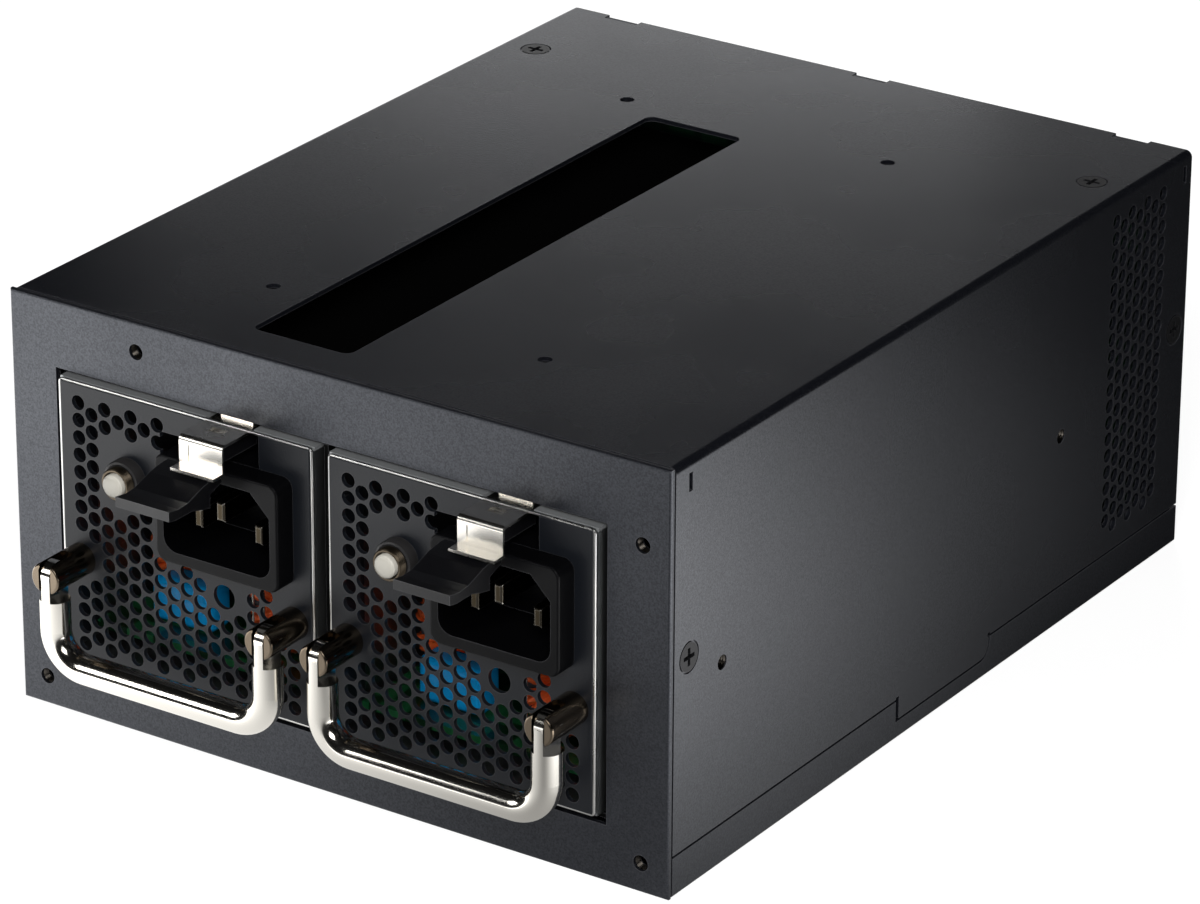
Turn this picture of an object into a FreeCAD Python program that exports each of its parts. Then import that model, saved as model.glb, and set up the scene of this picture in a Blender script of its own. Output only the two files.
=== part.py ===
import FreeCAD, Part
import math
import os
import re

import Sketcher

# A redundant server supply: one housing and two hot-swap modules that slide into its front window.
# Origin: middle of the housing's underside. The front faces -Y and +Z is up. Millimetres.

Vector = FreeCAD.Vector

DIMENSIONS = {
    # Housing
    "case_width": 150.0,
    "case_height": 86.0,
    "case_depth": 190.0,
    "case_sheet": 1.0,
    "bend_radius": 1.4,
    "edge_radius": 0.5,
    "seam": 0.5,
    "panel_fit": 0.1,
    # Front window, as the width of the frame round it
    "border_left": 10.6,
    "border_right": 13.6,
    "border_low": 11.6,
    "border_high": 13.7,
    # Tapped fixing holes in the front frame
    "fixing_radius": 1.6,
    "fixing_collar": 2.7,
    "fixing_length": 2.6,
    "fixing_inset": 6.0,
    "fixing_right_drop": 16.0,
    "fixing_left_inset": 30.0,
    # Tray flanges and the lips that the cover closes over
    "flange_high": 8.0,
    "flange_low": 3.6,
    "dip_front_inset": 79.6,
    "dip_length": 35.1,
    "dip_ramp": 0.4,
    "dip_round": 3.4,
    "relief_width": 1.1,
    "relief_rise": 0.9,
    "relief_radius": 0.6,
    "lip_top": 14.0,
    "return_depth": 13.0,
    "return_bottom": 9.0,
    "return_drop": 3.0,
    # Openings in the cover
    "slot_left": -25.6,
    "slot_right": -3.0,
    "slot_front_inset": 10.2,
    "slot_length": 134.8,
    "slot_corner": 2.0,
    "roof_hole_radius": 1.5,
    "roof_hole_left": -34.4,
    "roof_hole_width": 62.4,
    "roof_hole_front_inset": 29.0,
    "roof_hole_length": 121.0,
    "side_hole_radius": 1.5,
    "side_hole_height": 41.5,
    "side_hole_front_inset": 17.4,
    "side_hole_rear_inset": 49.5,
    "side_slit_width": 1.2,
    "side_slit_height": 3.7,
    "side_slit_drop": 2.5,
    "side_slit_front_inset": 6.3,
    "side_slit_rear_inset": 2.7,
    "notch_width": 8.0,
    "notch_depth": 2.0,
    "notch_side_inset": 13.5,
    "vent_radius": 1.5,
    "vent_pitch": 3.6,
    "vent_rear_inset": 30.1,
    "vent_low": 14.0,
    "vent_drop": 5.0,
    # Cover screws
    "screw_head_radius": 2.9,
    "screw_head_depth": 1.4,
    "screw_radius": 1.45,
    "screw_length": 5.0,
    "screw_fit": 0.05,
    "screw_rim": 0.35,
    "screw_rim_depth": 0.3,
    "cross_width": 0.9,
    "cross_length": 3.6,
    "cross_depth": 1.1,
    "top_screw_side_inset": 8.3,
    "top_screw_rear_inset": 26.0,
    "front_screw_inset": 6.3,
    "front_screw_height": 47.0,
    "rear_screw_inset": 4.3,
    "rear_screw_height": 48.7,
    # Rear panel
    "ear_width": 14.0,
    "ear_length": 32.0,
    "rear_flange_depth": 6.5,
    "rear_flange_low": 20.0,
    "rear_flange_drop": 10.0,
    "outlet_x": -28.0,
    "outlet_height": 31.0,
    "outlet_width": 46.0,
    "outlet_tall": 22.0,
    "outlet_corner": 4.0,
    "rear_vent_left": 12.0,
    "rear_vent_low": 22.0,
    "rear_vent_margin": 18.0,
    "grommet_lip": 2.0,
    "grommet_lip_thick": 0.8,
    "grommet_wall": 3.0,
    # Bays
    "bay_sheet": 1.0,
    "bay_floor_rise": 1.6,
    "bay_roof_rise": 0.7,
    "bay_front_gap": 0.3,
    "bay_rear_gap": 13.0,
    "bay_leg_inset": 6.0,
    "bay_foot_width": 5.6,
    "divider_shift": 0.3,
    # Backplane
    "board_thick": 1.6,
    "backplane_side_gap": 3.0,
    "backplane_low": 4.0,
    "backplane_drop": 6.0,
    "standoff_length": 8.4,
    "standoff_radius": 2.5,
    "standoff_side_inset": 9.0,
    "standoff_edge": 6.0,
    "socket_width": 46.0,
    "socket_depth": 12.0,
    "socket_wall": 3.4,
    "terminal_radius": 2.0,
    "terminal_base": 6.0,
    "terminal_base_thick": 1.5,
    "terminal_length": 6.0,
    "terminal_pitch": 9.0,
    "buzzer_radius": 4.75,
    "buzzer_length": 7.0,
    "buzzer_drop": 25.0,
    "buffer_radius": 4.0,
    "buffer_length": 12.0,
    "buffer_drop": 18.0,
    "buffer_pitch": 12.0,
    "buffer_side_inset": 13.0,
    # Modules
    "module_divider_play": 1.2,
    "module_side_play": 1.3,
    "module_low_play": 0.3,
    "module_high_play": 0.8,
    "module_rear_gap": 18.0,
    "module_sheet": 0.8,
    "plate_proud": 2.0,
    "plate_thick": 1.0,
    "plate_side_inset": 0.5,
    "plate_low_inset": 0.4,
    "plate_high_inset": 0.3,
    "plate_flange_depth": 8.0,
    "plate_flange_rise": 2.5,
    "plate_flange_drop": 9.5,
    "flange_fit": 0.1,
    "lid_flange_drop": 8.5,
    "hole_radius": 1.5,
    "hole_pitch": 3.6,
    "first_hole_drop": 4.2,
    "last_hole_rise": 3.0,
    "hole_side_margin": 4.4,
    # Mains inlet
    "inlet_side_inset": 4.5,
    "inlet_top_inset": 7.15,
    "inlet_flange_width": 28.5,
    "inlet_flange_tall": 22.0,
    "inlet_flange_depth": 5.0,
    "inlet_corner": 2.2,
    "inlet_body_width": 26.6,
    "inlet_body_tall": 20.4,
    "inlet_body_depth": 17.0,
    "inlet_fit": 0.1,
    "cavity_width": 24.8,
    "cavity_tall": 17.0,
    "cavity_depth": 16.0,
    "cavity_chamfer": 4.4,
    "cavity_corner": 3.0,
    "blade_thick": 2.0,
    "blade_tall": 4.0,
    "blade_spread": 7.0,
    "blade_drop": 2.0,
    "blade_recess": 3.8,
    "earth_rise": 1.9,
    "earth_recess": 1.4,
    "blade_tail": 4.0,
    "blade_tip": 0.55,
    # Latch, set out from the inlet's middle
    "latch_offset": 5.85,
    "latch_width": 10.0,
    "latch_thick": 0.6,
    "latch_top_gap": 0.3,
    "latch_reach": 8.0,
    "latch_front_tall": 5.6,
    "latch_lip": 2.8,
    "latch_step": 0.7,
    "latch_step_depth": 7.2,
    "latch_tail_depth": 17.0,
    "latch_bend": 1.1,
    "catch_inset": 1.3,
    "catch_gap": 0.3,
    "latch_side_play": 0.6,
    "thumb_offset": 10.05,
    "thumb_width": 12.4,
    "thumb_thick": 2.1,
    "thumb_drop": 8.8,
    "thumb_reach": 22.0,
    "thumb_root": 9.5,
    "thumb_heel_drop": 3.5,
    "arm_drop": 4.0,
    "arm_thick": 1.4,
    "arm_depth": 5.0,
    "slot_low_offset": 16.65,
    "slot_low_drop": 10.0,
    "slot_low_tall": 4.8,
    "slot_high_offset": 6.25,
    "slot_right_offset": 6.55,
    # Bail handle
    "post_side_inset": 4.6,
    "post_inlet_gap": 4.3,
    "post_radius": 3.25,
    "post_length": 11.5,
    "post_slot": 2.8,
    "post_slot_depth": 7.0,
    "post_shank_radius": 2.0,
    "post_rivet_radius": 2.6,
    "post_rivet_thick": 0.8,
    "pivot_inset": 3.0,
    "pin_radius": 1.0,
    "pin_fit": 0.06,
    "bail_radius": 3.0,
    "bail_drop": 18.3,
    "bail_bend": 7.0,
    "tongue_thick": 2.0,
    "shoulder_drop": 5.0,
    # Buzzer reset button
    "reset_share": 0.62,
    "reset_rise": 1.35,
    "barrel_radius": 4.15,
    "barrel_length": 2.6,
    "bushing_radius": 3.25,
    "bushing_length": 4.3,
    "switch_size": 7.2,
    "switch_depth": 10.0,
    "cap_radius": 2.35,
    "cap_proud": 1.2,
    "cap_length": 2.6,
    "cap_play": 0.1,
    "stem_radius": 1.2,
    "stem_length": 3.9,
    "reset_travel": 1.2,
    # Status lamp
    "lamp_offset": 2.25,
    "lamp_drop": 17.65,
    "lamp_hole_radius": 2.5,
    "lamp_radius": 1.5,
    "lamp_rim_radius": 1.9,
    "lamp_length": 4.5,
    "lamp_inset": 2.5,
    "lamp_holder": 4.0,
    # Parts on the main board
    "board_rise": 2.7,
    "board_side_play": 1.5,
    "board_front_inset": 6.0,
    "board_rear_play": 0.2,
    "card_edge_width": 40.0,
    "card_edge_reach": 14.0,
    "card_fit": 0.2,
    "boss_radius": 2.2,
    "boss_side_inset": 5.0,
    "boss_front_inset": 18.0,
    "boss_rear_inset": 25.0,
    "choke_share": 0.4073,
    "choke_width_share": 0.364,
    "choke_thick": 10.0,
    "choke_hole_share": 0.28,
    "core_share": 0.8,
    "core_hole_share": 0.46,
    "core_thick": 6.0,
    "far_choke_side": 0.2,
    "far_choke_front": 20.0,
    "near_choke_side": 5.5,
    "near_choke_front": 12.0,
    "film_gap": 11.3,
    "film_width": 14.7,
    "film_tall": 9.4,
    "film_deep": 7.0,
    "film_inset": 13.0,
    "film_edge": 1.2,
    "bulk_radius": 9.0,
    "bulk_length": 30.0,
    "bulk_side_inset": 1.0,
    "bulk_gap": 3.5,
    "transformer_side_inset": 1.0,
    "transformer_width": 20.0,
    "transformer_deep": 26.0,
    "transformer_tall": 24.0,
    "transformer_gap": 5.5,
    "transformer_leg": 4.5,
    "transformer_overhang": 5.0,
    "sink_gap": 6.0,
    "sink_rear_gap": 27.0,
    "sink_side_inset": 0.5,
    "sink_thick": 2.0,
    "sink_headroom": 14.0,
    "sink_fin": 6.0,
    "sink_fin_thick": 1.2,
    "output_radius": 5.0,
    "output_tall": 20.0,
    "output_gap": 9.0,
    "output_pitch": 11.0,
    # Fan
    "fan_lift": 1.8,
    "fan_headroom": 10.3,
    "fan_depth": 15.0,
    "fan_wall": 1.0,
    "fan_hole_radius": 2.1,
    "fan_hole_inset": 4.0,
    "hub_share": 0.58,
    "fan_plate": 2.0,
    "fan_strut": 2.5,
    "rotor_gap": 0.6,
    "rotor_tip_gap": 1.4,
    "rotor_depth": 11.0,
    "rotor_wall": 1.2,
    "shaft_radius": 1.0,
    "shaft_fit": 0.05,
    "bearing_radius": 2.5,
    "blade_sheet": 1.0,
    "blade_chord": 10.0,
    "blade_pitch_angle": 38.0,
}

SIDES = ("left", "right")
FAN_BLADES = 7
VENT_COLUMNS = 7
COLUMN_STEP = math.cos(math.radians(30))

# Planes and sizes worked out from the driving dimensions
HALF = "(case_width / 2)"
FRONT = "(-case_depth / 2)"
REAR = "(case_depth / 2)"
FRAME_BACK = f"({FRONT} + case_sheet)"
COVER_FRONT = f"({FRAME_BACK} + seam)"
REAR_INNER = f"({REAR} - 2 * case_sheet)"
WINDOW_LEFT = f"(-{HALF} + border_left)"
WINDOW_RIGHT = f"({HALF} - border_right)"
WINDOW_HIGH = "(case_height - border_high)"
DIP_START = f"({FRONT} + dip_front_inset)"
NOTCH_SIDE = f"({HALF} - notch_side_inset)"
BAY_FLOOR = "(border_low + bay_floor_rise)"
BAY_ROOF = f"({WINDOW_HIGH} + bay_roof_rise)"
DIVIDER_X = f"(({WINDOW_LEFT} + {WINDOW_RIGHT}) / 2 + divider_shift)"
BACKPLANE_HALF = f"({HALF} - case_sheet - backplane_side_gap)"
BACKPLANE_HIGH = "(case_height - backplane_drop)"
BACKPLANE_REAR = f"({REAR_INNER} - standoff_length)"
BACKPLANE_FACE = f"({BACKPLANE_REAR} - board_thick)"
BAY_REAR = f"({BACKPLANE_FACE} - bay_rear_gap)"
MODULE_HALF = f"((({WINDOW_RIGHT} - {DIVIDER_X}) - bay_sheet / 2 - module_divider_play - module_side_play) / 2)"
CENTRE_OFFSET = f"(bay_sheet / 2 + module_divider_play + {MODULE_HALF})"
MODULE_CENTRES = {"left": f"({DIVIDER_X} - {CENTRE_OFFSET})", "right": f"({DIVIDER_X} + {CENTRE_OFFSET})"}
MODULE_LOW = f"({BAY_FLOOR} + module_low_play)"
MODULE_HIGH = f"({WINDOW_HIGH} - module_high_play)"
MODULE_REAR = f"({BACKPLANE_FACE} - module_rear_gap)"
PLATE_FACE = f"({FRONT} - plate_proud)"
SHELL_FRONT = f"({PLATE_FACE} + plate_thick)"
SHELL_INNER = f"({MODULE_HALF} - module_sheet)"
SHELL_FLOOR = f"({MODULE_LOW} + module_sheet)"
LID_LOW = f"({MODULE_HIGH} - module_sheet)"
BOARD_LOW = f"({SHELL_FLOOR} + board_rise)"
BOARD_TOP = f"({BOARD_LOW} + board_thick)"
BOARD_HALF = f"({SHELL_INNER} - board_side_play)"
BOARD_FRONT = f"({SHELL_FRONT} + board_front_inset)"
INLET_FACE = f"({PLATE_FACE} - inlet_flange_depth)"
INLET_REAR = f"({PLATE_FACE} + inlet_body_depth)"
INLET_X = f"({MODULE_HALF} - inlet_side_inset - inlet_flange_width / 2)"
INLET_Z = f"({MODULE_HIGH} - inlet_top_inset - inlet_flange_tall / 2)"
LATCH_TOP = f"({MODULE_HIGH} - latch_top_gap)"
LATCH_LEFT = f"({INLET_X} - latch_offset)"
THUMB_LEFT = f"({INLET_X} - thumb_offset)"
THUMB_TOP = f"({LATCH_TOP} - thumb_drop)"
SLOT_LEFT = f"({INLET_X} - slot_low_offset)"
SLOT_LOW = f"({MODULE_HIGH} - slot_low_drop)"
POST_X = f"({MODULE_HALF} - post_side_inset)"
POST_Z = f"({INLET_Z} - inlet_flange_tall / 2 - post_inlet_gap - post_radius)"
PIVOT_Y = f"({PLATE_FACE} - post_length + pivot_inset)"
RESET_X = f"(-{MODULE_HALF} + reset_share * ({MODULE_HALF} + {INLET_X} - inlet_flange_width / 2))"
RESET_Z = f"({INLET_Z} + reset_rise)"
LAMP_X = f"({INLET_X} - lamp_offset)"
LAMP_Z = f"({INLET_Z} - lamp_drop)"
CHOKE_RADIUS = f"min(choke_share * ({INLET_Z} - inlet_body_tall / 2 - {BOARD_TOP}); choke_width_share * {BOARD_HALF})"
FAN_REAR = f"({MODULE_REAR} - module_sheet)"
FAN_FRONT = f"({FAN_REAR} - fan_depth)"
FAN_LOW = f"({BOARD_TOP} + fan_lift)"
FAN_SIZE = f"({LID_LOW} - fan_headroom - {FAN_LOW})"
FAN_CENTRE = f"({FAN_LOW} + {FAN_SIZE} / 2)"
FAN_BORE = f"({FAN_SIZE} / 2 - fan_wall)"
FAN_HUB = f"({FAN_BORE} * hub_share)"

doc = FreeCAD.newDocument("HotSwapSupply")
dims = doc.addObject("Spreadsheet::Sheet", "Dims")


def fill_sheet():
    """Write every driving dimension into the sheet, each under its own alias."""
    for row, (alias, value) in enumerate(DIMENSIONS.items(), 1):
        dims.set(f"A{row}", alias)
        dims.set(f"B{row}", str(value))
        dims.setAlias(f"B{row}", alias)
    doc.recompute()


def cells(expression):
    """Turn the bare dimension names in an expression into references to the sheet."""
    def refer(match):
        return f"Dims.{match[0]}" if match[0] in DIMENSIONS else match[0]
    return re.sub(r"[a-z_][a-z0-9_]*", refer, str(expression))


def number(expression):
    """Work out an expression in millimetres."""
    return float(dims.evalExpression(cells(expression)))


def bind(thing, **sizes):
    """Bind properties of a document object to expressions."""
    for name, expression in sizes.items():
        thing.setExpression(name, cells(expression))


def place(thing, x="0", y="0", z="0"):
    """Bind where a document object stands."""
    for axis, expression in zip("xyz", (x, y, z)):
        thing.setExpression(f".Placement.Base.{axis}", cells(expression))
    return thing


def box(name, x, y, z):
    """A block between two places along each axis."""
    block = doc.addObject("Part::Box", name)
    bind(block, Length=f"({x[1]}) - ({x[0]})", Width=f"({y[1]}) - ({y[0]})", Height=f"({z[1]}) - ({z[0]})")
    return place(block, x[0], y[0], z[0])


TURNS = {
    "x": FreeCAD.Rotation(Vector(0, 1, 0), 90),
    "y": FreeCAD.Rotation(Vector(1, 0, 0), -90),
    "z": FreeCAD.Rotation(),
}


def cylinder(name, axis, centre, span, radius):
    """A round bar along one axis; centre gives its place along the other two, in X, Y, Z order."""
    bar = doc.addObject("Part::Cylinder", name)
    bar.Placement = FreeCAD.Placement(Vector(), TURNS[axis])
    bind(bar, Radius=radius, Height=f"({span[1]}) - ({span[0]})")
    where = list(centre)
    where.insert("xyz".index(axis), span[0])
    return place(bar, *where)


def cone(name, centre, top, depth, wide, narrow):
    """A cone whose wide end is up at a height, for countersunk heads."""
    taper = doc.addObject("Part::Cone", name)
    bind(taper, Radius1=narrow, Radius2=wide, Height=depth)
    return place(taper, centre[0], centre[1], f"({top}) - ({depth})")


def fuse(name, pieces):
    """Join pieces into one solid."""
    joined = doc.addObject("Part::MultiFuse", name)
    joined.Shapes = pieces
    joined.Refine = True
    return joined


def group(name, pieces):
    """Keep several separate solids together under one name."""
    gathered = doc.addObject("Part::Compound", name)
    gathered.Links = pieces
    return gathered


def cut(name, base, tools):
    """Take tools away from a base."""
    left = doc.addObject("Part::Cut", name)
    left.Base = base
    left.Tool = tools[0] if len(tools) == 1 else group(f"{name}_tools", tools)
    return left


def common(name, base, tool):
    """Keep what two pieces share."""
    shared = doc.addObject("Part::Common", name)
    shared.Base = base
    shared.Tool = tool
    return shared


def holes(name, axis, centres, span, radius):
    """A field of drills, for a pattern of holes that a rule picks out."""
    low, high, size = number(span[0]), number(span[1]), number(radius)
    drills = []
    for first, second in centres:
        where = [first, second]
        where.insert("xyz".index(axis), low)
        direction = Vector(*(1.0 if letter == axis else 0.0 for letter in "xyz"))
        drills.append(Part.makeCylinder(size, high - low, Vector(*where), direction))
    field = doc.addObject("Part::Feature", name)
    field.Shape = Part.makeCompound(drills)
    return field


def rounded(name, base, radius, wanted):
    """Round the edges of a piece that a test picks out by their middle point."""
    doc.recompute()
    size = number(radius)
    picked = []
    for index, edge in enumerate(base.Shape.Edges, 1):
        if wanted(edge.valueAt((edge.FirstParameter + edge.LastParameter) / 2)):
            picked.append((index, size, size))
    smooth = doc.addObject("Part::Fillet", name)
    smooth.Base = base
    smooth.Edges = picked
    return smooth


def close(one, other):
    """Whether two lengths are the same."""
    return abs(one - other) < 1e-4


PLANES = {"xy": "XY_Plane", "xz": "XZ_Plane", "yz": "YZ_Plane"}


def prism(name, plane, outline, span, rounds=None):
    """A padded sketch: outline points on a plane, pushed from one place to another across it.

    rounds gives the radius at chosen points of the outline.
    """
    body = doc.addObject("PartDesign::Body", name)
    sketch = body.newObject("Sketcher::SketchObject", f"{name}_sketch")
    origin_plane = next(f for f in body.Origin.OriginFeatures if f.Role == PLANES[plane])
    sketch.AttachmentSupport = (origin_plane, [""])
    sketch.MapMode = "FlatFace"
    points = [Vector(number(a), number(b), 0) for a, b in outline]
    count = len(points)
    for index in range(count):
        sketch.addGeometry(Part.LineSegment(points[index], points[(index + 1) % count]), False)
    for index in range(count):
        sketch.addConstraint(Sketcher.Constraint("Coincident", index, 2, (index + 1) % count, 1))
    for index, pair in enumerate(outline):
        for kind, expression, value in zip(("DistanceX", "DistanceY"), pair, points[index]):
            made = sketch.addConstraint(Sketcher.Constraint(kind, -1, 1, index, 1, value))
            sketch.setExpression(f"Constraints[{made}]", cells(expression))
    pad = body.newObject("PartDesign::Pad", f"{name}_pad")
    pad.Profile = sketch
    bind(pad, Length=f"({span[1]}) - ({span[0]})")
    body.Tip = pad
    if rounds:
        round_corners(body, name, pad, points, plane, rounds)
    if plane == "xy":
        return place(body, z=span[0])
    if plane == "xz":
        return place(body, y=span[1])
    return place(body, x=span[0])


def round_corners(body, name, pad, points, plane, rounds):
    """Fillet the pad's edges that stand on chosen points of its outline."""
    doc.recompute()
    first, second = ("xyz".index(letter) for letter in plane)
    base = pad
    for radius in sorted(set(rounds.values())):
        wanted = [points[index] for index, size in rounds.items() if size == radius]
        edges = []
        for index, edge in enumerate(base.Shape.Edges, 1):
            if len(edge.Vertexes) < 2:
                continue
            ends = [(v.Point[first], v.Point[second]) for v in edge.Vertexes]
            if any(all(close(e[0], p[0]) and close(e[1], p[1]) for e in ends) for p in wanted):
                edges.append(f"Edge{index}")
        smooth = body.newObject("PartDesign::Fillet", f"{name}_round_{len(body.Group)}")
        smooth.Base = (base, edges)
        bind(smooth, Radius=radius)
        body.Tip = smooth
        doc.recompute()
        base = smooth


def steps_in(length, step):
    """How many places a pattern has along a length."""
    return int(number(length) / number(step) + 1e-6) + 1


def hex_field(columns, rows, pitch, first, low, shift=0):
    """Centres of a staggered field of holes, column by column; shift 1 starts the first column half a step up."""
    step = number(pitch)
    for column in range(columns):
        for row in range((column + shift) % 2, rows, 2):
            yield number(first) + column * step * COLUMN_STEP, number(low) + row * step / 2


# Housing


def flange_outline(gap):
    """Side view of a tray flange's top edge with its dip, and the same line moved up for the cover."""
    high = f"flange_high + {gap}"
    low = f"flange_low + {gap}"
    dip_end = f"{DIP_START} + dip_length - {gap}"
    return [
        (f"{DIP_START} + {gap}", high),
        (f"{DIP_START} + {gap}", low),
        (dip_end, low),
        (f"{dip_end} + dip_ramp", high),
    ]


def screw_places():
    """Where the six cover screws sit: name, position and the way the head faces."""
    for side, sign in (("left", -1), ("right", 1)):
        turn = FreeCAD.Rotation(Vector(0, 1, 0), 90 * sign)
        x_top = f"{sign} * ({HALF} - top_screw_side_inset)"
        x_side = f"{sign} * {HALF}"
        yield f"{side}_top", (x_top, f"{REAR} - top_screw_rear_inset", "case_height"), FreeCAD.Rotation()
        yield f"{side}_front", (x_side, f"{FRONT} + front_screw_inset", "front_screw_height"), turn
        yield f"{side}_rear", (x_side, f"{REAR} - rear_screw_inset", "rear_screw_height"), turn


def at_screw_places(name, master):
    """A copy of a master at each cover screw."""
    copies = []
    for label, (x, y, z), turn in screw_places():
        copy = group(f"{name}_{label}", [master])
        copy.Placement = FreeCAD.Placement(Vector(), turn)
        copies.append(place(copy, x, y, z))
    return group(name, copies)


def build_screws():
    """Cover screws, and the countersunk clearance that the sheets get for them."""
    head = cone("screw_head", ("0", "0"), "0", "screw_head_depth", "screw_head_radius", "screw_radius")
    shank = cylinder("screw_shank", "z", ("0", "0"), ("-screw_length", "-screw_head_depth"), "screw_radius")
    cross = [
        box("screw_cross_a", ("-cross_length / 2", "cross_length / 2"), ("-cross_width / 2", "cross_width / 2"),
            ("-cross_depth", "1")),
        box("screw_cross_b", ("-cross_width / 2", "cross_width / 2"), ("-cross_length / 2", "cross_length / 2"),
            ("-cross_depth", "1")),
    ]
    screw = cut("screw_master", fuse("screw_blank", [head, shank]), cross)
    at_screw_places("cover_screws", screw)
    sink = cone("sink_head", ("0", "0"), "0", "screw_head_depth", "screw_head_radius + screw_fit",
                "screw_radius + screw_fit")
    mouth = cylinder("sink_mouth", "z", ("0", "0"), ("-screw_rim_depth", "1"), "screw_head_radius + screw_rim")
    drill = cylinder("sink_drill", "z", ("0", "0"), ("-screw_length - screw_fit", "-screw_head_depth"),
                     "screw_radius + screw_fit")
    return at_screw_places("screw_clearance", fuse("sink_master", [sink, mouth, drill]))


def build_tray(clearance):
    """Floor, front frame, side flanges and their lips, bent from one sheet."""
    floor = box("tray_floor", (f"-{HALF} + case_sheet", f"{HALF} - case_sheet"), (FRAME_BACK, REAR),
                ("0", "case_sheet"))
    frame = box("front_frame", (f"-{HALF}", HALF), (FRONT, FRAME_BACK), ("0", "case_height"))
    front = number(FRONT)
    frame = rounded("front_frame_soft", frame, "edge_radius", lambda middle: close(middle.y, front))
    pieces = [floor, frame]
    for side, sign in (("left", -1), ("right", 1)):
        outer = (f"-{HALF}", f"-{HALF} + case_sheet") if sign < 0 else (f"{HALF} - case_sheet", HALF)
        inner = tuple(f"{edge} - {sign} * case_sheet" for edge in outer)
        outline = [(COVER_FRONT, "0"), (COVER_FRONT, "flange_high")] + flange_outline("0") + [
            (REAR, "flange_high"), (REAR, "0")]
        flange = prism(f"tray_flange_{side}", "yz", outline, outer, {4: "dip_round"})
        edge_x = number(f"{sign} * {HALF}")
        flange = rounded(f"tray_flange_{side}_soft", flange, "edge_radius",
                         lambda middle: close(middle.z, 0) and close(middle.x, edge_x))
        lip = box(f"tray_lip_{side}", inner, (COVER_FRONT, REAR_INNER), ("flange_low - case_sheet", "lip_top"))
        back = box(f"tray_return_{side}", inner, (FRAME_BACK, f"{FRAME_BACK} + return_depth"),
                   ("return_bottom", "case_height - return_drop"))
        pieces += [flange, lip, back]
    fixings = [
        (f"-{HALF} + fixing_inset", "fixing_inset"),
        (f"{HALF} - fixing_inset", "fixing_inset"),
        (f"{HALF} - fixing_inset", "case_height - fixing_right_drop"),
        (f"-{HALF} + fixing_left_inset", "case_height - fixing_inset"),
    ]
    drills = []
    for index, (x, z) in enumerate(fixings):
        pieces.append(cylinder(f"fixing_collar_{index}", "y", (x, z), (FRAME_BACK, f"{FRONT} + fixing_length"),
                               "fixing_collar"))
        drills.append(cylinder(f"fixing_drill_{index}", "y", (x, z), (f"{FRONT} - 1", f"{FRONT} + fixing_length + 1"),
                               "fixing_radius"))
    window = box("window", (WINDOW_LEFT, WINDOW_RIGHT), (f"{FRONT} - 1", f"{FRAME_BACK} + 1"),
                 ("border_low", WINDOW_HIGH))
    cut("base_tray", fuse("tray_blank", pieces), [window, clearance] + drills)


def build_cover(clearance):
    """Top and both sides, with the slot, the vents and the line that follows the tray's flanges."""
    blank = box("cover_block", (f"-{HALF}", HALF), (COVER_FRONT, REAR), ("flange_low + seam", "case_height"))
    top, side = number("case_height"), number(HALF)
    blank = rounded("cover_bends", blank, "bend_radius",
                    lambda middle: close(middle.z, top) and close(abs(middle.x), side))
    inside = box("cover_inside", (f"-{HALF} + case_sheet", f"{HALF} - case_sheet"),
                 (f"{COVER_FRONT} - 1", f"{REAR} + 1"), ("0", "case_height - case_sheet"))
    below = prism("cover_skirt", "yz", [(f"{COVER_FRONT} - 1", "0"), (f"{COVER_FRONT} - 1", "flange_high + seam")]
                  + flange_outline("seam") + [(f"{REAR} + 1", "flange_high + seam"), (f"{REAR} + 1", "0")],
                  (f"-{HALF} - 1", f"{HALF} + 1"), {4: "dip_round - seam"})
    slot_front = f"({FRONT} + slot_front_inset)"
    slot = prism("cover_slot", "xy", [
        ("slot_left", slot_front),
        ("slot_right", slot_front),
        ("slot_right", f"{slot_front} + slot_length"),
        ("slot_left", f"{slot_front} + slot_length"),
    ], ("case_height - case_sheet - 1", "case_height + 1"), {index: "slot_corner" for index in range(4)})
    tools = [inside, below, slot, clearance]
    for column in range(2):
        for row in range(2):
            x = f"roof_hole_left + {column} * roof_hole_width"
            y = f"{FRONT} + roof_hole_front_inset + {row} * roof_hole_length"
            tools.append(cylinder(f"roof_hole_{column}{row}", "z", (x, y),
                                  ("case_height - case_sheet - 1", "case_height + 1"), "roof_hole_radius"))
    across = (f"-{HALF} - 1", f"{HALF} + 1")
    tools.append(box("cover_relief", across, (DIP_START, f"{DIP_START} + relief_width"),
                     ("flange_low + seam", "flange_high + relief_rise")))
    tools.append(cylinder("cover_relief_round", "x", (f"{DIP_START} + dip_length + dip_ramp - seam", "flange_high + seam"),
                          across, "relief_radius"))
    for label, y in (("front", f"{FRONT} + side_hole_front_inset"), ("rear", f"{REAR} - side_hole_rear_inset")):
        tools.append(cylinder(f"side_hole_{label}", "x", (y, "side_hole_height"), across, "side_hole_radius"))
    for label, y in (("front", f"{FRONT} + side_slit_front_inset"), ("rear", f"{REAR} - side_slit_rear_inset")):
        tools.append(box(f"side_slit_{label}", across, (f"{y} - side_slit_width / 2", f"{y} + side_slit_width / 2"),
                         ("case_height - side_slit_drop - side_slit_height", "case_height - side_slit_drop")))
    for index in (-1, 0, 1):
        tools.append(box(f"rear_notch_{index + 1}",
                         (f"{index} * {NOTCH_SIDE} - notch_width / 2", f"{index} * {NOTCH_SIDE} + notch_width / 2"),
                         (f"{REAR} - notch_depth", f"{REAR} + 1"), ("case_height - case_sheet - 1", "case_height + 1")))
    rows = steps_in("case_height - vent_drop - vent_low", "vent_pitch / 2")
    vents = list(hex_field(VENT_COLUMNS, rows, "vent_pitch", f"{REAR} - vent_rear_inset", "vent_low", 1))
    tools.append(holes("side_vents", "x", vents, across, "vent_radius"))
    cut("top_cover", blank, tools)


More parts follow.
